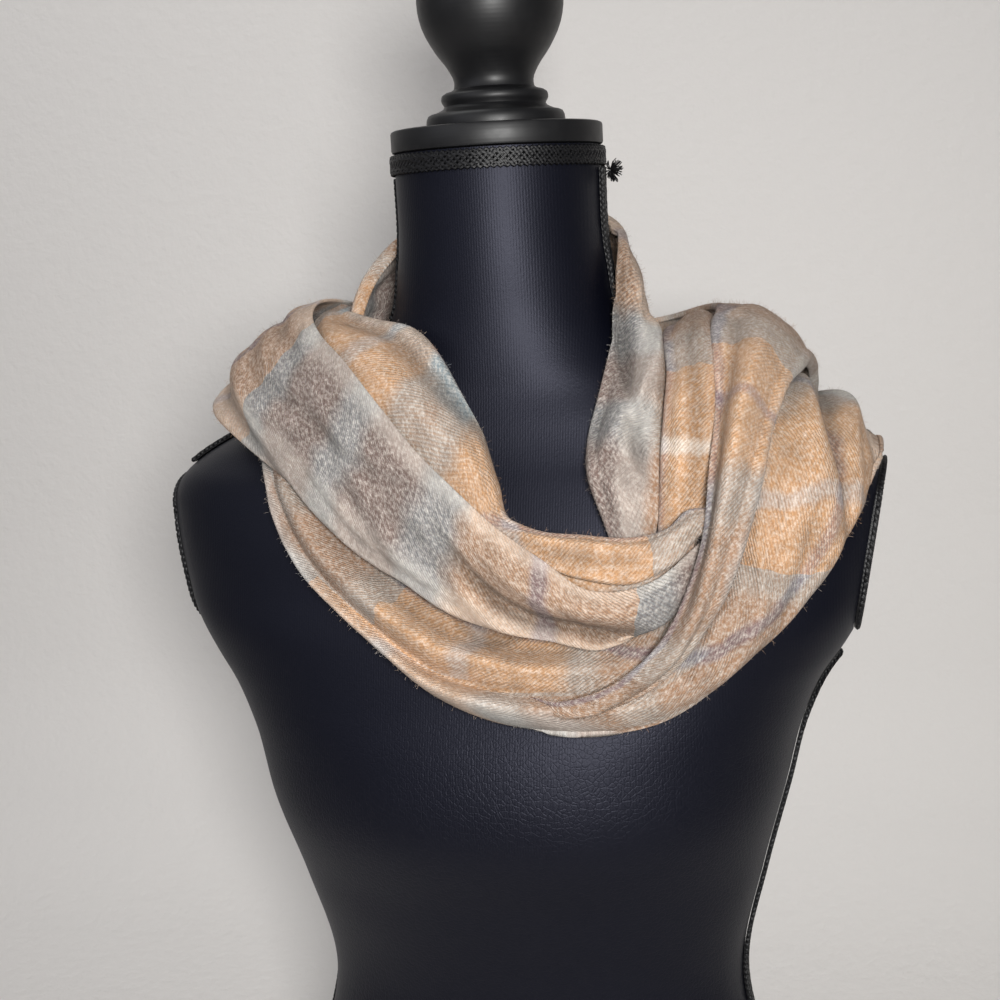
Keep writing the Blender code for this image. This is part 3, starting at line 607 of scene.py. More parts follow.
# One row for each stretch of cloth: its name, its tables, whether it runs round into its own
# start, the yarn of the sett's thin line as it shows there, the size it was cut to in metres, and
# the CAD nodes that it stands for. The random numbers of each have their own seed.
FIRST_SEED = 11
STRETCH_COLUMNS = (
    "name", "sections", "folds", "creases", "tucks", "sett", "closed", "line", "flat", "nodes",
)
STRETCHES = (
    (
        "scarf_long_band", LONG_BAND, LONG_BAND_FOLDS, LONG_BAND_CREASES, NO_TUCKS, LONG_BAND_SETT,
        False, "mauve", (0.086, 1.105), ("left_band_lower", "back_swag_upper", "pleat_two"),
    ),
    (
        "scarf_lower_loop", LOWER_RING, LOWER_RING_FOLDS, LOWER_RING_CREASES, LOWER_RING_TUCKS,
        LOWER_RING_SETT, True, "smoke", (0.071, 1.040),
        ("outer_right_folds", "back_swag_lower", "under_loop"),
    ),
    (
        "scarf_neck_turn", NECK_TURN, NECK_TURN_FOLDS, NECK_TURN_CREASES, NO_TUCKS, NECK_TURN_SETT,
        False, "mauve", (0.068, 0.466), ("neck_turn", "inner_right_fold"),
    ),
    (
        "scarf_upper_band", UPPER_BAND, UPPER_BAND_FOLDS, UPPER_BAND_CREASES, NO_TUCKS, UPPER_BAND_SETT,
        False, "smoke", (0.045, 0.386), ("left_band_upper", "front_roll"),
    ),
    (
        "scarf_second_roll", SECOND_ROLL, NO_FOLDS, SECOND_ROLL_CREASES, NO_TUCKS, SECOND_ROLL_SETT,
        False, "white", (0.030, 0.107), ("second_roll",),
    ),
    (
        "scarf_pleat_one", PLEAT_ONE, PLEAT_ONE_FOLDS, PLEAT_ONE_CREASES, NO_TUCKS, PLEAT_ONE_SETT,
        False, "white", (0.047, 0.228), ("pleat_one",),
    ),
)

# The stage, the camera and the lights, in metres, millimetres of lens, degrees and watts.
STAGE_WIDTH = 6.0
STAGE_CUTS = 40
WALL_BEHIND = 0.25
WALL_CURVE = 0.30
WORLD_STRENGTH = 0.20
CAMERA_PLACE = (0.2151, -0.8626, 0.629)
CAMERA_AZIMUTH = 14.55
CAMERA_PITCH = 9.6
CAMERA_ROLL = -3.0
SENSOR_WIDTH = 36.0
LENS = 57.6
LIGHT_COLUMNS = ("name", "place", "aim", "size", "power", "colour", "spread")
LIGHTS = (
    ("key_softbox", (0.35, -1.06, 0.70), (0.02, 0.0, 0.44), (0.20, 0.20), 6.6, "FFFEFC", 110),
    ("fill_softbox", (-1.0, -1.2, 1.2), (0.0, 0.0, 0.50), (1.0, 1.0), 3.5, "F4F6FF", 180),
    ("wall_softbox", (-0.7, -0.1, 1.9), (-0.5, 0.7, 0.6), (1.4, 0.4), 8.0, "FFFFFF", 180),
)


def hex_colour(value):
    """An sRGB hex colour as linear red, green, blue and alpha."""
    channels = [int(value[i : i + 2], 16) / 255 for i in (0, 2, 4)]
    linear = [c / 12.92 if c <= 0.04045 else ((c + 0.055) / 1.055) ** 2.4 for c in channels]
    return (*linear, 1.0)


def add_node(material, kind, settings=None, links=None):
    """Adds a node, sets its properties and inputs, and links its inputs to other nodes' outputs."""
    node = material.node_tree.nodes.new(kind)
    for key, value in (settings or {}).items():
        if isinstance(key, int):
            node.inputs[key].default_value = value
        elif hasattr(node, key):
            setattr(node, key, value)
        else:
            node.inputs[key.replace("_", " ")].default_value = value
    for key, source in (links or {}).items():
        material.node_tree.links.new(source, node.inputs[key])
    return node


def new_material(name, colour=None, **values):
    """A material, and its shader with a colour and some inputs set."""
    material = bpy.data.materials.new(name)
    material.use_nodes = True
    shader = material.node_tree.nodes["Principled BSDF"]
    if colour:
        shader.inputs["Base Color"].default_value = hex_colour(colour)
    for key, value in values.items():
        shader.inputs[key.replace("_", " ")].default_value = value
    return material, shader


def add_noise(material, place, **settings):
    return add_node(material, "ShaderNodeTexNoise", settings, {"Vector": place}).outputs["Fac"]


def add_waves(material, place, direction, pitch, **settings):
    """Bands of waves with a pitch in millimetres."""
    settings["Scale"] = WAVE_SCALE[direction] / (pitch * MM)
    settings["bands_direction"] = direction
    return add_node(material, "ShaderNodeTexWave", settings, {"Vector": place}).outputs["Fac"]


def add_math(material, operation, first, second, third=0.0, **settings):
    """A calculation with two or three values, each a number or another node's output."""
    settings["operation"] = operation
    links = {}
    for number, value in enumerate((first, second, third)):
        target = settings if isinstance(value, float) else links
        target[number] = value
    return add_node(material, "ShaderNodeMath", settings, links).outputs["Value"]


def add_range(material, value, ends, new_ends):
    """A value that runs between two ends, moved to run between two new ones."""
    settings = dict(zip(("From Min", "From Max", "To Min", "To Max"), (*ends, *new_ends)))
    return add_node(material, "ShaderNodeMapRange", settings, {"Value": value}).outputs["Result"]


def add_bump(material, shader, height, strength, distance):
    settings = {"Strength": strength, "Distance": distance}
    bump = add_node(material, "ShaderNodeBump", settings, {"Height": height})
    material.node_tree.links.new(bump.outputs["Normal"], shader.inputs["Normal"])


def own_place(material):
    """The place of each point of a piece, in metres."""
    return add_node(material, "ShaderNodeTexCoord").outputs["Object"]


def fill_ramp(ramp, sett, line):
    """Gives a colour ramp the stripes of a sett, each with soft brushed edges."""
    stripes = [(start, YARNS[line if yarn == "line" else yarn]) for start, yarn in sett]
    ends = [start for start, _ in stripes[1:]] + [REPEAT]
    blur = STRIPE_BLUR / 2 / REPEAT
    stops = []
    for (start, colour), end in zip(stripes, ends):
        stops.append((start / REPEAT + blur, colour))
        stops.append((end / REPEAT - blur, colour))
    elements = ramp.elements
    elements[0].position, elements[1].position = 0.0, 1.0
    elements[0].color = hex_colour(stripes[0][1])
    elements[1].color = hex_colour(stripes[-1][1])
    for position, colour in stops:
        elements.new(position).color = hex_colour(colour)


# Brushed twill, a soft wool-like acrylic: dyed yarns woven over two and under two, so each stripe
# of the warp crosses each stripe of the weft as fine diagonal ribs, then raised to a short nap.
# It looks matt and slightly mottled, with a pale bloom where it turns away.
def brushed_plaid(name, line):
    material, shader = new_material(
        name, Roughness=0.92, Sheen_Weight=0.10, Sheen_Roughness=0.45, Specular_IOR_Level=0.2
    )
    shader.inputs["Sheen Tint"].default_value = hex_colour("F3ECE4")
    sett = add_node(material, "ShaderNodeUVMap", {"uv_map": "sett"}).outputs["UV"]
    weave = add_node(material, "ShaderNodeUVMap", {"uv_map": "weave"}).outputs["UV"]
    # The fold map holds the painted shade of the troughs of folds and creases.
    fold = add_node(material, "ShaderNodeUVMap", {"uv_map": "fold"}).outputs["UV"]

    # The yarns wander a little, so the edges of the stripes aren't ruled.
    wander = add_node(material, "ShaderNodeTexNoise", {"Scale": 45.0, "Detail": 2.0}, {"Vector": weave})
    moved = add_node(
        material, "ShaderNodeVectorMath", {"operation": "MULTIPLY_ADD", 1: (0.06, 0.06, 0.0)},
        {0: wander.outputs["Color"], 2: sett},
    )
    place = add_node(material, "ShaderNodeSeparateXYZ", links={"Vector": moved.outputs["Vector"]})
    yarns = []
    for axis, stripes in (("X", WEFT_SETT), ("Y", WARP_SETT)):
        share = add_node(material, "ShaderNodeMath", {"operation": "FRACT"}, {0: place.outputs[axis]})
        ramp = add_node(material, "ShaderNodeValToRGB", links={"Fac": share.outputs["Value"]})
        fill_ramp(ramp.color_ramp, stripes, line)
        yarns.append(ramp.outputs["Color"])
    weft, warp = yarns

    ribs = add_waves(
        material, weave, "DIAGONAL", RIB_PITCH, wave_type="BANDS", Distortion=3.4, Detail=3.0,
        Detail_Scale=3.0,
    )
    # The nap is a mottle of 3 mm tufts and single fibres that the brushing pulled up.
    mottle = add_noise(material, weave, Scale=430.0, Detail=6.0, Roughness=0.75)
    patches = add_noise(material, weave, Scale=70.0, Detail=4.0, Roughness=0.6)
    lean = add_math(material, "MULTIPLY_ADD", ribs, 0.22, 0.18)
    spread = add_math(material, "MULTIPLY_ADD", mottle, 0.62, lean)
    share = add_math(material, "SUBTRACT", spread, 0.08, use_clamp=True)
    woven = add_node(material, "ShaderNodeMix", {"data_type": "RGBA"}, {0: share, 6: warp, 7: weft})
    # Pale fibres lie over all of it.
    bloom = add_range(material, mottle, (0.44, 0.70), (0.0, 0.58))
    pale = add_node(
        material, "ShaderNodeMix", {"data_type": "RGBA", 7: hex_colour("E6DED4")},
        {0: bloom, 6: woven.outputs[2]},
    )
    # The tone changes from patch to patch and from rib to rib, and painted shade darkens the bottom
    # of a fold, where little light reaches.
    depth = add_range(material, patches, (0.25, 0.75), (0.70, 1.20))
    shade = add_math(material, "MULTIPLY", depth, add_math(material, "MULTIPLY_ADD", ribs, 0.18, 0.89))
    # Painted shade of the troughs, which darkens the colour below.
    fold_shade = add_node(material, "ShaderNodeSeparateXYZ", links={"Vector": fold}).outputs["X"]
    tone_and_painted_shade = add_node(
        material, "ShaderNodeVectorMath", {"operation": "SCALE"},
        {0: pale.outputs[2], "Scale": add_math(material, "MULTIPLY", shade, fold_shade)},
    )
    material.node_tree.links.new(tone_and_painted_shade.outputs["Vector"], shader.inputs["Base Color"])
    relief = add_math(material, "MULTIPLY_ADD", mottle, 1.5, ribs)
    add_bump(material, shader, relief, strength=0.6, distance=0.0008)
    return material


# Black cotton and elastane jersey pulled over a padded form: fine upright wales, a dull sheen, and
# a faint crackle on the chest, below where the scarf lies, where its old coating has creased.
def black_jersey():
    material, shader = new_material("black_cotton_jersey", "04050D", Specular_IOR_Level=0.30)
    shader.inputs["Specular Tint"].default_value = hex_colour("D6D8F0")
    place = own_place(material)
    wales = add_waves(material, place, "X", WALE_PITCH, Distortion=0.6, Detail=1.0)
    crackle = add_node(
        material, "ShaderNodeTexVoronoi", {"feature": "DISTANCE_TO_EDGE", "Scale": 330.0},
        {"Vector": place},
    )
    lines = add_range(material, crackle.outputs["Distance"], (0.0, 0.12), (0.0, 1.0))
    height = add_node(material, "ShaderNodeSeparateXYZ", links={"Vector": place}).outputs["Z"]
    amount = add_range(material, height, (0.42, 0.34), (0.0, 0.7))
    # Lint and pilling make it faintly speckled.
    lint = add_noise(material, place, Scale=700.0, Detail=4.0, Roughness=0.7)
    ground = add_math(material, "ADD", lint, add_math(material, "MULTIPLY", lines, amount))
    relief = add_math(material, "MULTIPLY_ADD", wales, 0.22, ground)
    add_bump(material, shader, relief, strength=0.35, distance=0.0004)
    where = add_noise(material, place, Scale=9.0, Detail=2.0)
    dullness = add_range(material, where, (0.0, 1.0), (0.42, 0.56))
    material.node_tree.links.new(dullness, shader.inputs["Roughness"])
    return material


# Beech turned on a lathe, stained and sprayed with black satin lacquer: a soft gloss with faint
# turning rings and dust in it.
def black_lacquer():
    material, shader = new_material("black_satin_lacquer", "0A0A0C", Specular_IOR_Level=0.42)
    place = own_place(material)
    dust = add_noise(material, place, Scale=160.0, Detail=5.0)
    rings = add_waves(material, place, "Z", RING_PITCH, Distortion=0.4)
    dullness = add_range(material, dust, (0.0, 1.0), (0.38, 0.56))
    material.node_tree.links.new(dullness, shader.inputs["Roughness"])
    relief = add_math(material, "MULTIPLY_ADD", rings, 0.4, dust)
    add_bump(material, shader, relief, strength=0.08, distance=0.0003)
    return material


# Rayon gimp, cords wrapped in shiny black thread and plaited flat: each cord shows its wrapping
# as fine slanting lines.
def black_gimp():
    material, shader = new_material("black_rayon_gimp", Roughness=0.5, Specular_IOR_Level=0.32)
    thread = add_waves(material, own_place(material), "DIAGONAL", THREAD_PITCH, Distortion=0.8)
    tone = add_node(
        material, "ShaderNodeMix",
        {"data_type": "RGBA", 6: hex_colour("040405"), 7: hex_colour("0F0F12")}, {0: thread},
    )
    material.node_tree.links.new(tone.outputs[2], shader.inputs["Base Color"])
    add_bump(material, shader, thread, strength=0.4, distance=0.0003)
    return material


def unit(vectors):
    return vectors / (np.linalg.norm(vectors, axis=-1, keepdims=True) + 1e-9)


def lengths_along(points):
    """How far along a line of points each one lies."""
    return np.concatenate([[0], np.cumsum(np.linalg.norm(np.diff(points, axis=0), axis=1))])


def slopes_of(rows, places):
    """The slope of each column at each row, for a smooth curve through the rows."""
    steps = np.diff(places)[:, None]
    chords = np.diff(rows, axis=0) / steps
    slopes = np.empty_like(rows)
    slopes[0] = chords[0]
    slopes[-1] = chords[-1]
    before = steps[:-1]
    after = steps[1:]
    slopes[1:-1] = (chords[:-1] * after + chords[1:] * before) / (before + after)
    return slopes


def smooth_rows(rows, places, wanted):
    """The rows of a table read at the wanted places along it."""
    rows = np.asarray(rows, float)
    places = np.asarray(places, float)
    slopes = slopes_of(rows, places)
    index = np.clip(np.searchsorted(places, wanted, side="right") - 1, 0, len(places) - 2)
    span = (places[index + 1] - places[index])[:, None]
    t = (wanted - places[index])[:, None] / span
    start = rows[index]
    end = rows[index + 1]
    keep = 2 * t**3 - 3 * t**2 + 1
    lead = t**3 - 2 * t**2 + t
    trail = t**3 - t**2
    return keep * start + (1 - keep) * end + span * (lead * slopes[index] + trail * slopes[index + 1])


FORM_TABLE = np.asarray(FORM_SECTIONS, float)


def form_section(height):
    """Half width, front, back, middle and squareness of the form at some heights."""
    wanted = np.clip(np.atleast_1d(np.asarray(height, float)), 0.0, NECK_TOP)
    return smooth_rows(FORM_TABLE[:, 1:], FORM_TABLE[:, 0], wanted)


def form_excess(points):
    """How far each point lies outside the form, level with it."""
    half_width, front, back, middle, squareness = form_section(points[:, 2]).T
    aside = points[:, 1] - middle
    distance = np.hypot(points[:, 0], aside) + 1e-6
    depth = np.where(aside < 0, front + middle, back - middle)
    share_x = np.abs(points[:, 0]) / distance / half_width
    share_y = np.abs(aside) / distance / depth
    reach = (share_x**squareness + share_y**squareness) ** (-1 / squareness)
    return distance - reach


def form_distance(points):
    """Each point's distance from the form, and the direction straight away from it."""
    excess = form_excess(points)
    slope = np.zeros_like(points)
    for axis in range(3):
        moved = points.copy()
        moved[:, axis] += PROBE_STEP
        slope[:, axis] = (form_excess(moved) - excess) / PROBE_STEP
    steepness = np.linalg.norm(slope, axis=1)
    return excess / steepness, slope / steepness[:, None]


def arm_plane(height):
    return ARM_PLANE_OUT + ARM_PLANE_LEAN * (height - ARM_PLANE_HEIGHT)


def braid_lift(points):
    """The extra room that the cloth keeps where it passes over the braid on the form's sides."""
    past_braid = np.abs(points[:, 1]) - BRAID_WIDTH / 2
    near = np.clip(1 - past_braid / BRAID_WIDTH, 0, 1)
    return (BRAID_THICKNESS + SEAT_GAP) * np.minimum(1, 2 * near)


def rest_on_form(points):
    """Moves any point that would sink into the form straight out, to just clear of it."""
    for _ in range(REST_PASSES):
        distance, out = form_distance(points)
        short = FORM_CLEARANCE + CLOTH_WALL + braid_lift(points) - distance
        points = points + out * np.maximum(short, 0)[:, None]
    return points


def outward(rows):
    """The direction that the face of each section looks in, away from the form's axis."""
    middle = (rows[:, 0:3] + rows[:, 3:6]) / 2
    along = np.gradient(middle, axis=0)
    chord = rows[:, 3:6] - rows[:, 0:3]
    out = unit(np.cross(along, chord))
    away = middle * (1, 1, 0) + FACE_LIFT
    return out * np.sign(np.sum(out * away, axis=1))[:, None]


def arc_points(centre, start, end, angles):
    """Points on an arc about a centre, from one direction towards another, for every section."""
    turn = angles[None, :, None]
    return centre[:, None] + start[:, None] * np.cos(turn) + end[:, None] * np.sin(turn)


def section_grid(rows, out, across):
    """Evenly spaced points across each section: rolled inner edge, face, rolled outer edge."""
    bulge, inner_roll, outer_roll = rows[:, 6:9].T[..., None]
    chord = unit(rows[:, 3:6] - rows[:, 0:3])
    inner = rows[:, 0:3] + chord * inner_roll
    outer = rows[:, 3:6] - chord * outer_roll
    share = np.linspace(0, 1, FACE_POINTS)[None, :, None]
    face = inner[:, None] + (outer - inner)[:, None] * share
    face = face + out[:, None] * bulge[:, None] * 4 * share * (1 - share)
    angles = np.linspace(ROLL_START, ROLL_END, ROLL_POINTS)
    turned_in = arc_points(inner - out * inner_roll, out * inner_roll, -chord * inner_roll, angles[::-1])
    turned_out = arc_points(outer - out * outer_roll, out * outer_roll, chord * outer_roll, angles)
    paths = np.concatenate([turned_in, face, turned_out], axis=1)
    grid = np.empty((len(rows), across, 3))
    for i, path in enumerate(paths):
        length = lengths_along(path)
        wanted = np.linspace(0, length[-1], across)
        for k in range(3):
            grid[i, :, k] = np.interp(wanted, length, path[:, k])
    return grid


def bell(off):
    """A soft hump, 1 in its middle and almost gone 1.5 out from there."""
    return np.exp(-2.5 * off * off)


def fold_lifts(folds, places, shares, widths):
    """How far the soft folds move each point out or in."""
    lifts = np.zeros((len(places), len(shares)))
    for first, last, across_first, across_last, fold_width, height in folds:
        t = np.clip((places - first) / (last - first), 0, 1)
        middle = across_first + (across_last - across_first) * t
        off = (shares[None, :] - middle[:, None]) * widths[:, None] / fold_width
        lifts += height * (np.sin(math.pi * t) ** FOLD_RISE)[:, None] * bell(off)
    return lifts


def crease_lifts(creases, places, shares, widths):
    """How far the creases move each point: a trough or a ridge, with a soft shoulder either side."""
    lifts = np.zeros((len(places), len(shares)))
    for crease_width, height, path in creases:
        path_rows, path_shares = np.array(path, float).T
        t = np.clip((places - path_rows[0]) / (path_rows[-1] - path_rows[0]), 0, 1)
        middle = smooth_rows(path_shares[:, None], path_rows, np.clip(places, path_rows[0], path_rows[-1]))
        off = (shares[None, :] - middle) * widths[:, None] / crease_width
        shoulders = SHOULDER_SHARE * (bell(off - SHOULDER_OUT) + bell(off + SHOULDER_OUT))
        rise = (np.sin(math.pi * t) ** CREASE_RISE)[:, None]
        lifts += height * rise * (bell(off * CREASE_NARROWING) - shoulders)
    return lifts


def tuck_shift(tucks, places, shares, turn):
    """How far along the weft each point is moved by the tucks, on a stretch that may run round."""
    shift = np.zeros((len(places), len(shares)))
    for hidden, path in tucks:
        path_rows, path_shares = np.array(path, float).T
        for rows in (places, places + turn):
            begun = np.clip((rows - path_rows[0]) / TUCK_FADE, 0, 1)
            left = np.clip((path_rows[-1] - rows) / TUCK_FADE, 0, 1)
            near = np.clip(rows, path_rows[0], path_rows[-1])
            middle = smooth_rows(path_shares[:, None], path_rows, near)
            past = np.clip((shares[None, :] - middle) / TUCK_SPAN + 0.5, 0, 1)
            shift += hidden * (begun * left)[:, None] * past
    return shift


def soft_lumps(along, across, seed):
    """The small unevenness of soft cloth, as a few waves of different lengths."""
    random = np.random.default_rng(seed)
    lumps = np.zeros((len(along), across.shape[1]))
    for wave_length, height in LUMPS:
        for _ in range(LUMP_WAVES):
            slant = random.uniform(-LUMP_SLANT, LUMP_SLANT)
            start = random.uniform(0, 2 * math.pi)
            lengthwise = along[:, None] * math.cos(slant) * LUMP_STRETCH
            waves = (lengthwise + across * math.cos(slant / 2)) / wave_length
            lumps += height * np.sin(2 * math.pi * waves + start)
    return lumps


def surface_normals(grid):
    """The outward direction at each point of a grid."""
    along = np.gradient(grid, axis=0)
    across = np.gradient(grid, axis=1)
    normals = unit(np.cross(along, across))
    core = grid * (1, 1, 0) + FACE_LIFT
    middle = grid.shape[1] // 2
    facing = np.sign(np.sum(normals[:, middle] * core[:, middle], axis=1).mean())
    return normals * facing


def cloth_surface(sections, folds, creases, tucks, sett, closed, seed):
    """The outer surface of a stretch with one step past each end, and its maps: where each point
    lies in the sett and in the weave, and how much painted shade its folds put on it."""
    table = np.asarray(sections, float)
    lap = CLOSED_LAP if closed else 0
    if closed:
        table = np.concatenate([table[-1 - lap : -1], table, table[1 : 1 + lap]])
    numbers = np.arange(len(table), dtype=float) - lap
    lengths = lengths_along((table[:, 0:3] + table[:, 3:6]) / 2)
    lengths -= lengths[lap]
    total = lengths[len(table) - 1 - lap]
    along = int(round(total / CLOTH_STEP_ALONG)) + 1
    trim = 0.0 if closed else END_TRIM
    step = (total - 2 * trim) / (along - 1)
    run = trim + step * np.arange(-1, along + 1)
    if not closed:
        run = np.clip(run, 0, total)
    rows = smooth_rows(table, lengths, run)
    places = np.interp(run, lengths, numbers)
    out = outward(rows)
    widths = np.linalg.norm(rows[:, 3:6] - rows[:, 0:3], axis=1)
    reach = widths + 2 * (rows[:, 7] + rows[:, 8])
    across = int(round(reach.max() / CLOTH_STEP_ACROSS)) + 1
    shares = np.linspace(0, 1, across)
    grid = section_grid(rows, out, across)
    lifts = fold_lifts(folds, places, shares, widths)
    for turn in (0, len(sections) - 1) if closed else (0,):
        lifts += crease_lifts(creases, places + turn, shares, widths)
    # Painted shade: each millimetre of a fold's or crease's trough darkens the cloth's colour, stored in the
    # fold map.
    shade = np.clip(1 + FOLD_SHADE * np.minimum(lifts, 0), 1 - FOLD_SHADE_LIMIT, 1)
    edge = np.minimum(1, 8 * shares * (1 - shares))
    waves = soft_lumps(run, shares[None, :] * widths[:, None], seed)
    if closed:
        waves *= np.clip(np.minimum(run, total - run) / JOIN_FADE, 0, 1)[:, None]
    lifts += waves * edge
    grid = grid + out[:, None] * lifts[..., None]
    grid = rest_on_form(grid.reshape(-1, 3)).reshape(len(rows), across, 3)

    sett_rows = np.asarray(sett, float)
    woven_places = np.clip(places, sett_rows[0, 0], sett_rows[-1, 0])
    woven = smooth_rows(sett_rows[:, 1:], sett_rows[:, 0], woven_places)
    weft = woven[:, 0:1] + (woven[:, 1:2] - woven[:, 0:1]) * shares
    warp = woven[:, 2:3] + (woven[:, 3:4] - woven[:, 2:3]) * shares
    weft = weft + tuck_shift(tucks, places, shares, len(sections) - 1)
    sett_map = np.stack([weft, warp], axis=2) / REPEAT
    steps = np.linalg.norm(np.diff(grid, axis=1), axis=2)
    span = np.concatenate([np.zeros((len(rows), 1)), np.cumsum(steps, axis=1)], axis=1)
    weave_map = np.stack([np.repeat(run[:, None], across, axis=1), span], axis=2) * MM
    painted_fold_shade_map = np.stack([shade, shade], axis=2)
    return grid, {"sett": sett_map, "weave": weave_map, "fold": painted_fold_shade_map}


def ring_faces(rings, around, closed=False):
    """The faces that join each ring of points to the next."""
    faces = []
    for i in range(rings if closed else rings - 1):
        for j in range(around):
            k = (j + 1) % around
            a, b = i * around, (i + 1) % rings * around
            faces.append((a + j, a + k, b + k, b + j))
    return faces


def new_piece(name, points, faces, corner_maps=None):
    """A closed piece from points in millimetres, its faces turned outwards, and its maps."""
    mesh = bpy.data.meshes.new(name)
    mesh.from_pydata((points.reshape(-1, 3) * MM).tolist(), [], faces)
    for map_name, values in (corner_maps or {}).items():
        layer = mesh.uv_layers.new(name=map_name)
        layer.data.foreach_set("uv", values.astype(np.float32).ravel())
    piece = bpy.data.objects.new(name, mesh)
    bpy.context.scene.collection.objects.link(piece)
    build = bmesh.new()
    build.from_mesh(mesh)
    bmesh.ops.recalc_face_normals(build, faces=build.faces)
    build.to_mesh(mesh)
    build.free()
    return piece


def rim_of(edge, next_in, normals):
    """Points that round off the edge of the wall, from its outer side to its inner side."""
    out = unit(edge - next_in)
    half = CLOTH_WALL / 2
    centre = edge - normals * half
    turns = np.linspace(0, math.pi, RIM_POINTS + 2)[1:-1]
    return [centre + normals * half * math.cos(turn) + out * half * math.sin(turn) for turn in turns]


def build_stretch(name, sections, folds, creases, tucks, sett, closed, line, flat, nodes, seed):
    """One stretch of the scarf: a thin closed wall with rounded rims, and its maps of the weave."""
    grid, maps = cloth_surface(sections, folds, creases, tucks, sett, closed, seed)
    normals = surface_normals(grid)
    grid, normals = grid[1:-1], normals[1:-1]
    maps = {map_name: values[1:-1] for map_name, values in maps.items()}
    inner = grid - normals * CLOTH_WALL
    outer_rim = rim_of(grid[:, -1], grid[:, -2], normals[:, -1])
    inner_rim = rim_of(grid[:, 0], grid[:, 1], normals[:, 0])[::-1]
    columns = [grid[:, j] for j in range(grid.shape[1])] + outer_rim
    columns += [inner[:, j] for j in range(grid.shape[1])][::-1] + inner_rim
    points = np.stack(columns, axis=1)
    across = grid.shape[1]
    outer_order = [*range(across), *[across - 1] * RIM_POINTS]
    order = np.array([*outer_order, *range(across - 1, -1, -1), *[0] * RIM_POINTS])
    along, around = points.shape[:2]
    rings = along - 1 if closed else along

    i, j = np.meshgrid(np.arange(along - 1), np.arange(around), indexing="ij")
    i, j = i.ravel(), j.ravel()
    k = (j + 1) % around
    faces = np.stack([
        i * around + j, i * around + k, (i + 1) % rings * around + k, (i + 1) % rings * around + j
    ], axis=1)
    face_rows = np.stack([i, i, i + 1, i + 1], axis=1)
    face_columns = np.stack([j, k, k, j], axis=1)
    corners = np.stack([face_rows.ravel(), face_columns.ravel()], axis=1)
    face_list = faces.tolist()
    if not closed:
        for row, flip in ((0, False), (along - 1, True)):
            for end in end_faces(across, around):
                ordered = end[::-1] if flip else end
                face_list.append([row * around + point for point in ordered])
                corners = np.concatenate([corners, [(row, point) for point in ordered]])

    places = corners[:, 0], order[corners[:, 1]]
    # The maps include the fold map, with its painted shade in the troughs.
    corner_maps = {map_name: values[places] for map_name, values in maps.items()}
    piece = new_piece(name, points[:rings], face_list, corner_maps)
    plaid = brushed_plaid(f"brushed_plaid_{name}", line)
    finish_plaid(piece, plaid)
    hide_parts(*nodes)
    build_nap(name + "_nap", grid, normals, maps, plaid, seed)


def finish_plaid(piece, material):
    piece.data.materials.append(material)
    piece.data.shade_smooth()
    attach(piece, "root")


def build_nap(name, grid, normals, maps, material, seed):
    """The fine fibres that the brushing pulled up, each in the colour of the cloth at its root."""
    random = np.random.default_rng(seed)
    rows, across = grid.shape[:2]
    count = int(rows * across * NAP_SHARE)
    row, column = random.integers(0, rows, count), random.integers(0, across, count)
    root, out = grid[row, column], normals[row, column]
    aside = unit(random.normal(0, 1, (count, 3)))
    length = random.uniform(*NAP_LENGTHS, count)[:, None]
    t = np.linspace(0, 1, NAP_POINTS)[None, :, None]
    path = root[:, None] + (length * out)[:, None] * (t - NAP_SAG * t * t)
    path += (length * aside)[:, None] * NAP_LEAN * t * t
    side = unit(np.cross(out, aside))
    other = np.cross(out, side)
    turns = np.arange(3) * 2 * math.pi / 3
    ring = side[:, None] * np.cos(turns)[None, :, None] + other[:, None] * np.sin(turns)[None, :, None]
    points = path[:, :, None] + NAP_RADIUS * ring[:, None]
    used = 3 * NAP_POINTS
    pattern = ring_faces(NAP_POINTS, 3) + [(2, 1, 0), (used - 3, used - 2, used - 1)]
    corners = sum(len(face) for face in pattern)
    faces = [[used * i + place for place in face] for i in range(count) for face in pattern]
    # Each fibre takes the maps at its root, the painted fold shade among them.
    roots = {map_name: np.repeat(values[row, column], corners, axis=0) for map_name, values in maps.items()}
    finish_plaid(new_piece(name, points, faces, roots), material)


def end_faces(across, around):
    """The faces that close the cut end of a wall, as places round its section."""
    last_inner = across + RIM_POINTS
    strip = [[j, j + 1, around - RIM_POINTS - 2 - j, around - RIM_POINTS - 1 - j] for j in range(across - 1)]
    outer_end = list(range(across - 1, last_inner + 1))
    inner_end = [0] + list(range(around - 1, around - RIM_POINTS - 2, -1))
    return strip + [outer_end, inner_end[::-1]]


def finish_piece(piece, material, nodes, smooth_angle):
    """Gives a piece its finish and its place in the frame, and hides the CAD nodes that it stands for."""
    piece.data.materials.clear()
    piece.data.materials.append(material)
    bpy.ops.object.select_all(action="DESELECT")
    piece.select_set(True)
    bpy.context.view_layer.objects.active = piece
    bpy.ops.object.shade_smooth_by_angle(angle=math.radians(smooth_angle))
    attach(piece, "root")
    if nodes:
        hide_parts(*nodes)


def edit_above(piece, height):
    """Goes into edit mode on a piece, with all of it above a height selected."""
    bpy.ops.object.select_all(action="DESELECT")
    piece.select_set(True)
    bpy.context.view_layer.objects.active = piece
    bpy.ops.object.mode_set(mode="EDIT")
    build = bmesh.from_edit_mesh(piece.data)
    for vertex in build.verts:
        vertex.select = vertex.co.z >= height * MM
    build.select_flush_mode()
    bmesh.update_edit_mesh(piece.data)


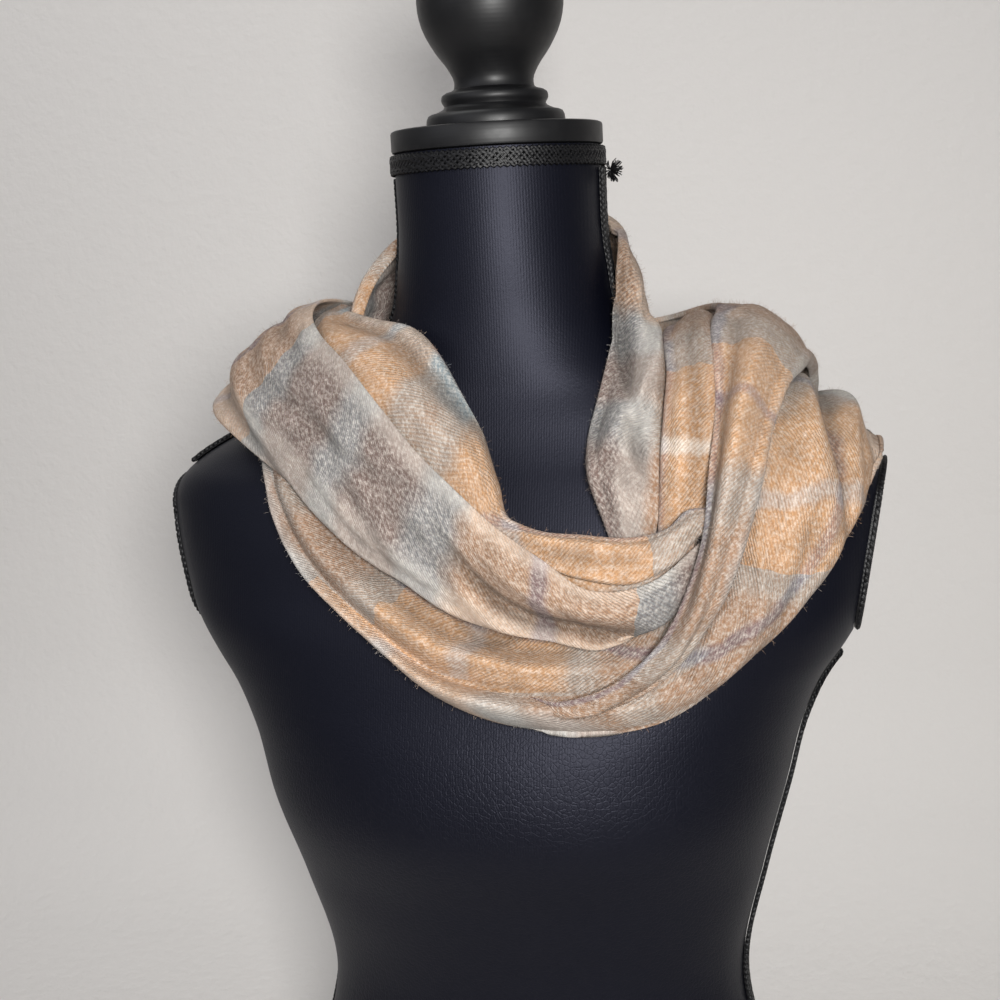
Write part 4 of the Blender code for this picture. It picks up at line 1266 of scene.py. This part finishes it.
def build_torso(material):
    """The jersey cover of the form: rings through its level sections, cut flat at each arm."""
    heights = np.concatenate([np.arange(low, high, step) for low, high, step in TORSO_LEVELS] + [[NECK_TOP]])
    turns = np.linspace(0, 2 * math.pi, TORSO_SIDES, endpoint=False)
    half_width, front, back, middle, squareness = form_section(heights).T[..., None]
    sideways, forwards = np.sin(turns)[None, :], np.cos(turns)[None, :]
    power = 2 / squareness
    x = half_width * np.sign(sideways) * np.abs(sideways) ** power
    depth = np.where(forwards > 0, front + middle, back - middle)
    y = middle - depth * np.sign(forwards) * np.abs(forwards) ** power
    z = np.repeat(heights[:, None], TORSO_SIDES, axis=1)
    rings = len(heights)
    faces = ring_faces(rings, TORSO_SIDES)
    faces.append(tuple(range(TORSO_SIDES))[::-1])
    faces.append(tuple(range((rings - 1) * TORSO_SIDES, rings * TORSO_SIDES)))
    torso = new_piece("form_torso_cover", np.stack([x, y, z], axis=2), faces)
    for side in (-1, 1):
        edit_above(torso, ARM_SEARCH[0])
        bpy.ops.mesh.bisect(
            plane_co=(side * ARM_PLANE_OUT * MM, 0, ARM_PLANE_HEIGHT * MM),
            plane_no=(side, 0, -ARM_PLANE_LEAN),
            use_fill=True,
            clear_outer=True,
        )
        bpy.ops.object.mode_set(mode="OBJECT")
    edit_above(torso, 0)
    bpy.ops.mesh.normals_make_consistent(inside=False)
    bpy.ops.object.mode_set(mode="OBJECT")
    finish_piece(torso, material, ["form_torso"], COVER_SMOOTH)


def turned_profile(profile, steps):
    """A turned outline with more points, on a smooth curve through the table's radii and heights."""
    rows = np.asarray(profile, float)
    run = lengths_along(rows)
    spans = [np.linspace(a, b, steps, endpoint=False) for a, b in zip(run, run[1:])]
    wanted = np.unique(np.concatenate(spans))
    return np.concatenate([smooth_rows(rows, run, wanted), rows[-1:]])


def build_turned(name, profile, sides, material, nodes):
    """A turned piece: a small ring drawn out ring by ring down its outline, and closed below."""
    bpy.ops.object.select_all(action="DESELECT")
    (radius, height), *rest = profile
    bpy.ops.mesh.primitive_circle_add(
        vertices=sides, radius=radius * MM, fill_type="NGON", location=(0, 0, height * MM)
    )
    piece = bpy.context.object
    piece.name = piece.data.name = name
    bpy.ops.object.transform_apply(location=True)
    bpy.ops.object.mode_set(mode="EDIT")
    bpy.ops.mesh.select_all(action="SELECT")
    for next_radius, next_height in rest:
        bpy.ops.mesh.extrude_region_move(
            TRANSFORM_OT_translate={"value": (0, 0, (next_height - height) * MM)}
        )
        share = next_radius / radius
        bpy.ops.transform.resize(value=(share, share, 1), center_override=(0, 0, 0))
        radius, height = next_radius, next_height
    bpy.ops.mesh.select_all(action="SELECT")
    bpy.ops.mesh.normals_make_consistent(inside=False)
    bpy.ops.object.mode_set(mode="OBJECT")
    finish_piece(piece, material, nodes, TURNED_SMOOTH)


def build_cords(name, paths, radius, sides, material, node):
    """Thin cords as one piece. Each path is its points, and whether it runs round into its start."""
    points, faces = [], []
    turns = np.arange(sides) * 2 * math.pi / sides
    base = 0
    for path, closed in paths:
        along = np.gradient(path, axis=0)
        if closed:
            along = np.roll(path, -1, axis=0) - np.roll(path, 1, axis=0)
        along = unit(along)
        side = unit(np.cross(along, unit(path * (1, 1, 0))))
        up = np.cross(side, along)
        ring = [path + radius * (side * math.cos(turn) + up * math.sin(turn)) for turn in turns]
        points.append(np.stack(ring, axis=1).reshape(-1, 3))
        used = len(path) * sides
        cord_faces = ring_faces(len(path), sides, closed)
        if not closed:
            cord_faces += [tuple(range(sides))[::-1], tuple(range(used - sides, used))]
        faces += [tuple(base + place for place in face) for face in cord_faces]
        base += used
    finish_piece(new_piece(name, np.concatenate(points), faces), material, [node], BRAID_SMOOTH)


def gimp_paths(middle, across, out, width, thickness, closed):
    """The cords of a flat plait: two that swing from edge to edge in loops, and two down the middle."""
    run = lengths_along(middle)
    if closed:
        run = np.append(run, run[-1] + np.linalg.norm(middle[0] - middle[-1]))
        middle, across, out = (np.concatenate([grid, grid[:1]]) for grid in (middle, across, out))
    loops = max(GIMP_LEAST_LOOPS, round(run[-1] / GIMP_PITCH))
    t = np.linspace(0, run[-1], loops * GIMP_POINTS + (0 if closed else 1), endpoint=not closed)

    def read(grid):
        return np.stack([np.interp(t, run, grid[:, k]) for k in range(3)], axis=1)

    centre, sideways, away = read(middle), read(across), read(out)
    forward = unit(np.gradient(centre, axis=0))
    swing = width / 2 - GIMP_CORD
    phase = 2 * math.pi * loops * t / run[-1]
    paths = []
    for sign in (-1, 1):
        side = sign * swing * np.sin(phase)
        lean = GIMP_LEAN * GIMP_PITCH * np.sin(2 * phase)
        rise = thickness / 2 + (thickness / 2 - GIMP_CORD) * sign * np.cos(phase)
        path = centre + sideways * side[:, None] + forward * lean[:, None] + away * (SEAT_GAP + rise)[:, None]
        paths.append((path, closed))
    for sign in (-1, 1):
        side = sign * GIMP_CORE_OUT * width + GIMP_CORE_SWAY * np.sin(phase + 2 * sign)
        path = centre + sideways * side[:, None] + away * (SEAT_GAP + thickness * GIMP_CORE_RISE)
        paths.append((path, closed))
    return paths


def side_line(side, heights, aside):
    """Points of the form's side at some heights, moved aside to the front or the back."""
    half_width, front, back, middle, squareness = form_section(heights).T
    off = aside - middle
    depth = np.where(off < 0, front + middle, back - middle)
    x = side * half_width * (1 - (np.abs(off) / depth) ** squareness) ** (1 / squareness)
    return np.stack([x, np.full_like(x, aside), heights], axis=1)


def arm_rim(side, turns):
    """Points on the rim of a flat arm end, at some angles round it from its top."""
    heights = np.linspace(*ARM_SEARCH)
    cut = form_section(heights)[:, 0] > arm_plane(heights)
    bottom, top = heights[cut][0], heights[cut][-1]
    height = (top + bottom) / 2 + (top - bottom) / 2 * np.cos(turns)
    half_width, front, back, middle, squareness = form_section(height).T
    share = np.minimum(1.0, arm_plane(height) / half_width)
    forwards = np.sin(turns) > 0
    depth = np.where(forwards, front + middle, back - middle)
    off = depth * (1 - share**squareness) ** (1 / squareness)
    return np.stack([side * arm_plane(height), middle + np.where(forwards, -off, off), height], axis=1)


def build_braid(name, middle, across, out, width, thickness, closed, material, node):
    """A gimp braid of four cords, on a strip of tape that fills the gaps between them."""
    paths = gimp_paths(middle, across, out, width, thickness, closed)
    build_cords(name, paths, GIMP_CORD, GIMP_SIDES, material, node)
    low = out * SEAT_GAP
    high = out * (SEAT_GAP + TAPE_THICKNESS)
    half = across * (width / 2 - GIMP_CORD)
    corners = [middle - half + low, middle + half + low, middle + half + high, middle - half + high]
    used = 4 * len(middle)
    faces = ring_faces(len(middle), 4, closed)
    if not closed:
        faces += [(3, 2, 1, 0), tuple(range(used - 4, used))]
    tape = new_piece(name + "_tape", np.stack(corners, axis=1), faces)
    finish_piece(tape, material, [], BRAID_SMOOTH)


def build_all_braids(material):
    turns = np.linspace(0, 2 * math.pi, NECK_RING_POINTS, endpoint=False)
    out = np.stack([np.sin(turns), -np.cos(turns), np.zeros_like(turns)], axis=1)
    level = NECK_TOP - SEAT_GAP - BRAID_WIDTH / 2
    middle = out * NECK_RADIUS + (0, 0, level)
    up = np.tile((0.0, 0.0, 1.0), (len(turns), 1))
    build_braid("neck_top_gimp", middle, up, out, BRAID_WIDTH, BRAID_THICKNESS, True, material, "neck_braid")
    for word, side in (("left", -1), ("right", 1)):
        for kind, (top, bottom) in (("neck", NECK_BRAID_SPAN), ("side", SIDE_BRAID_SPAN)):
            heights = np.linspace(top, bottom, STRAIGHT_POINTS)
            middle = side_line(side, heights, 0.0)
            out = form_distance(middle)[1]
            across = np.tile((0.0, 1.0, 0.0), (len(heights), 1))
            build_braid(
                f"{kind}_gimp_{word}", middle, across, out, BRAID_WIDTH, BRAID_THICKNESS, False,
                material, f"{kind}_braid_{word}",
            )
        turns = np.linspace(0, 2 * math.pi, ARM_RING_POINTS, endpoint=False)
        rim = arm_rim(side, turns)
        spread = unit(rim - rim.mean(axis=0))
        out = np.tile(unit(np.array((side, 0.0, -ARM_PLANE_LEAN))), (len(rim), 1))
        build_braid(
            f"arm_gimp_{word}", rim - spread * ARM_BRAID_WIDTH / 2, spread, out,
            ARM_BRAID_WIDTH, ARM_BRAID_THICKNESS, True, material, f"arm_braid_{word}",
        )


def build_tuft(material):
    """The frayed end of the right neck braid: fine threads that spread from where it is cut."""
    random = np.random.default_rng(TUFT_SEED)
    paths = []
    for _ in range(TUFT_THREADS):
        spread = unit(random.normal(0, 1, 3))
        start = TUFT_CENTRE + spread * TUFT_REACH * TUFT_ROOT - TUFT_INSET
        end = TUFT_CENTRE + spread * TUFT_REACH * random.uniform(*TUFT_LENGTHS)
        bend = random.normal(0, TUFT_BEND, 3)
        t = np.linspace(0, 1, TUFT_POINTS)[:, None]
        paths.append((start + (end - start) * t + bend * t * (1 - t), False))
    build_cords("frayed_braid_end", paths, TUFT_THREAD, TUFT_SIDES, material, "braid_tuft")


def build_stage():
    """A plain pale floor that curves up into a plain wall behind."""
    material, shader = new_material("pale_studio_sweep", "D6D3D0", Roughness=0.95, Specular_IOR_Level=0.1)
    grain = add_noise(material, own_place(material), Scale=110.0, Detail=4.0)
    add_bump(material, shader, grain, strength=0.5, distance=0.002)
    # The back of the wall is clear, so that it hides nothing from a camera behind it.
    side = add_node(material, "ShaderNodeNewGeometry")
    clear = add_node(material, "ShaderNodeBsdfTransparent")
    one_sided = add_node(
        material, "ShaderNodeMixShader",
        links={0: side.outputs["Backfacing"], 1: shader.outputs["BSDF"], 2: clear.outputs["BSDF"]},
    )
    output = material.node_tree.nodes["Material Output"]
    material.node_tree.links.new(one_sided.outputs["Shader"], output.inputs["Surface"])
    bpy.ops.object.select_all(action="DESELECT")
    bpy.ops.mesh.primitive_plane_add(size=STAGE_WIDTH, location=(0, 0, 0))
    sweep = bpy.context.object
    sweep.name = sweep.data.name = "studio_sweep"
    bpy.ops.object.mode_set(mode="EDIT")
    bpy.ops.mesh.subdivide(number_cuts=STAGE_CUTS)
    bpy.ops.object.mode_set(mode="OBJECT")
    for vertex in sweep.data.vertices:
        far = vertex.co.y - WALL_BEHIND
        if far > 0:
            turn = min(far / WALL_CURVE, math.pi / 2)
            rise = max(0.0, far - WALL_CURVE * math.pi / 2)
            vertex.co.y = WALL_BEHIND + WALL_CURVE * math.sin(turn)
            vertex.co.z += WALL_CURVE * (1 - math.cos(turn)) + rise
    sweep.data.materials.append(material)
    sweep.data.shade_smooth()


def add_light(name, place, aim, size, power, colour, spread):
    bpy.ops.object.light_add(type="AREA", location=place)
    light = bpy.context.object
    light.name = name
    light.data.shape = "RECTANGLE"
    light.data.size, light.data.size_y = size
    light.data.energy = power
    light.data.color = hex_colour(colour)[:3]
    light.data.spread = math.radians(spread)
    light.rotation_euler = look_along(np.array(aim) - np.array(place))


def look_along(direction):
    """The turn that points a camera or a light along a direction, level with the horizon."""
    x, y, z = direction / np.linalg.norm(direction)
    return (math.acos(-z), 0.0, math.atan2(-x, y))


def build_camera():
    """The camera at the photograph's place."""
    camera = bpy.data.objects.new("photo_camera", bpy.data.cameras.new("photo_camera"))
    bpy.context.scene.collection.objects.link(camera)
    camera.data.sensor_width = SENSOR_WIDTH
    camera.data.lens = LENS
    azimuth = math.radians(CAMERA_AZIMUTH)
    pitch = math.radians(CAMERA_PITCH)
    camera.location = CAMERA_PLACE
    level = math.cos(pitch)
    direction = (-math.sin(azimuth) * level, math.cos(azimuth) * level, -math.sin(pitch))
    camera.rotation_euler = look_along(np.array(direction))
    camera.rotation_euler.rotate_axis("Z", math.radians(CAMERA_ROLL))
    bpy.context.scene.camera = camera


def build_world():
    world = bpy.data.worlds.new("soft_studio")
    world.use_nodes = True
    background = world.node_tree.nodes["Background"]
    background.inputs["Color"].default_value = hex_colour("F0F1F5")
    background.inputs["Strength"].default_value = WORLD_STRENGTH
    bpy.context.scene.world = world


bpy.context.scene.view_settings.view_transform = "Standard"
build_camera()
build_world()
build_stage()
for light in LIGHTS:
    add_light(*light)

jersey = black_jersey()
lacquer = black_lacquer()
gimp = black_gimp()
build_torso(jersey)
build_turned("turned_neck_cap", CAP_OUTLINE, CAP_SIDES, lacquer, ["neck_cap"])
build_turned("turned_finial", turned_profile(FINIAL_OUTLINE, FINIAL_STEPS), CAP_SIDES, lacquer, ["finial"])
build_all_braids(gimp)
build_tuft(gimp)
for number, stretch in enumerate(STRETCHES):
    build_stretch(*stretch, seed=number + FIRST_SEED)
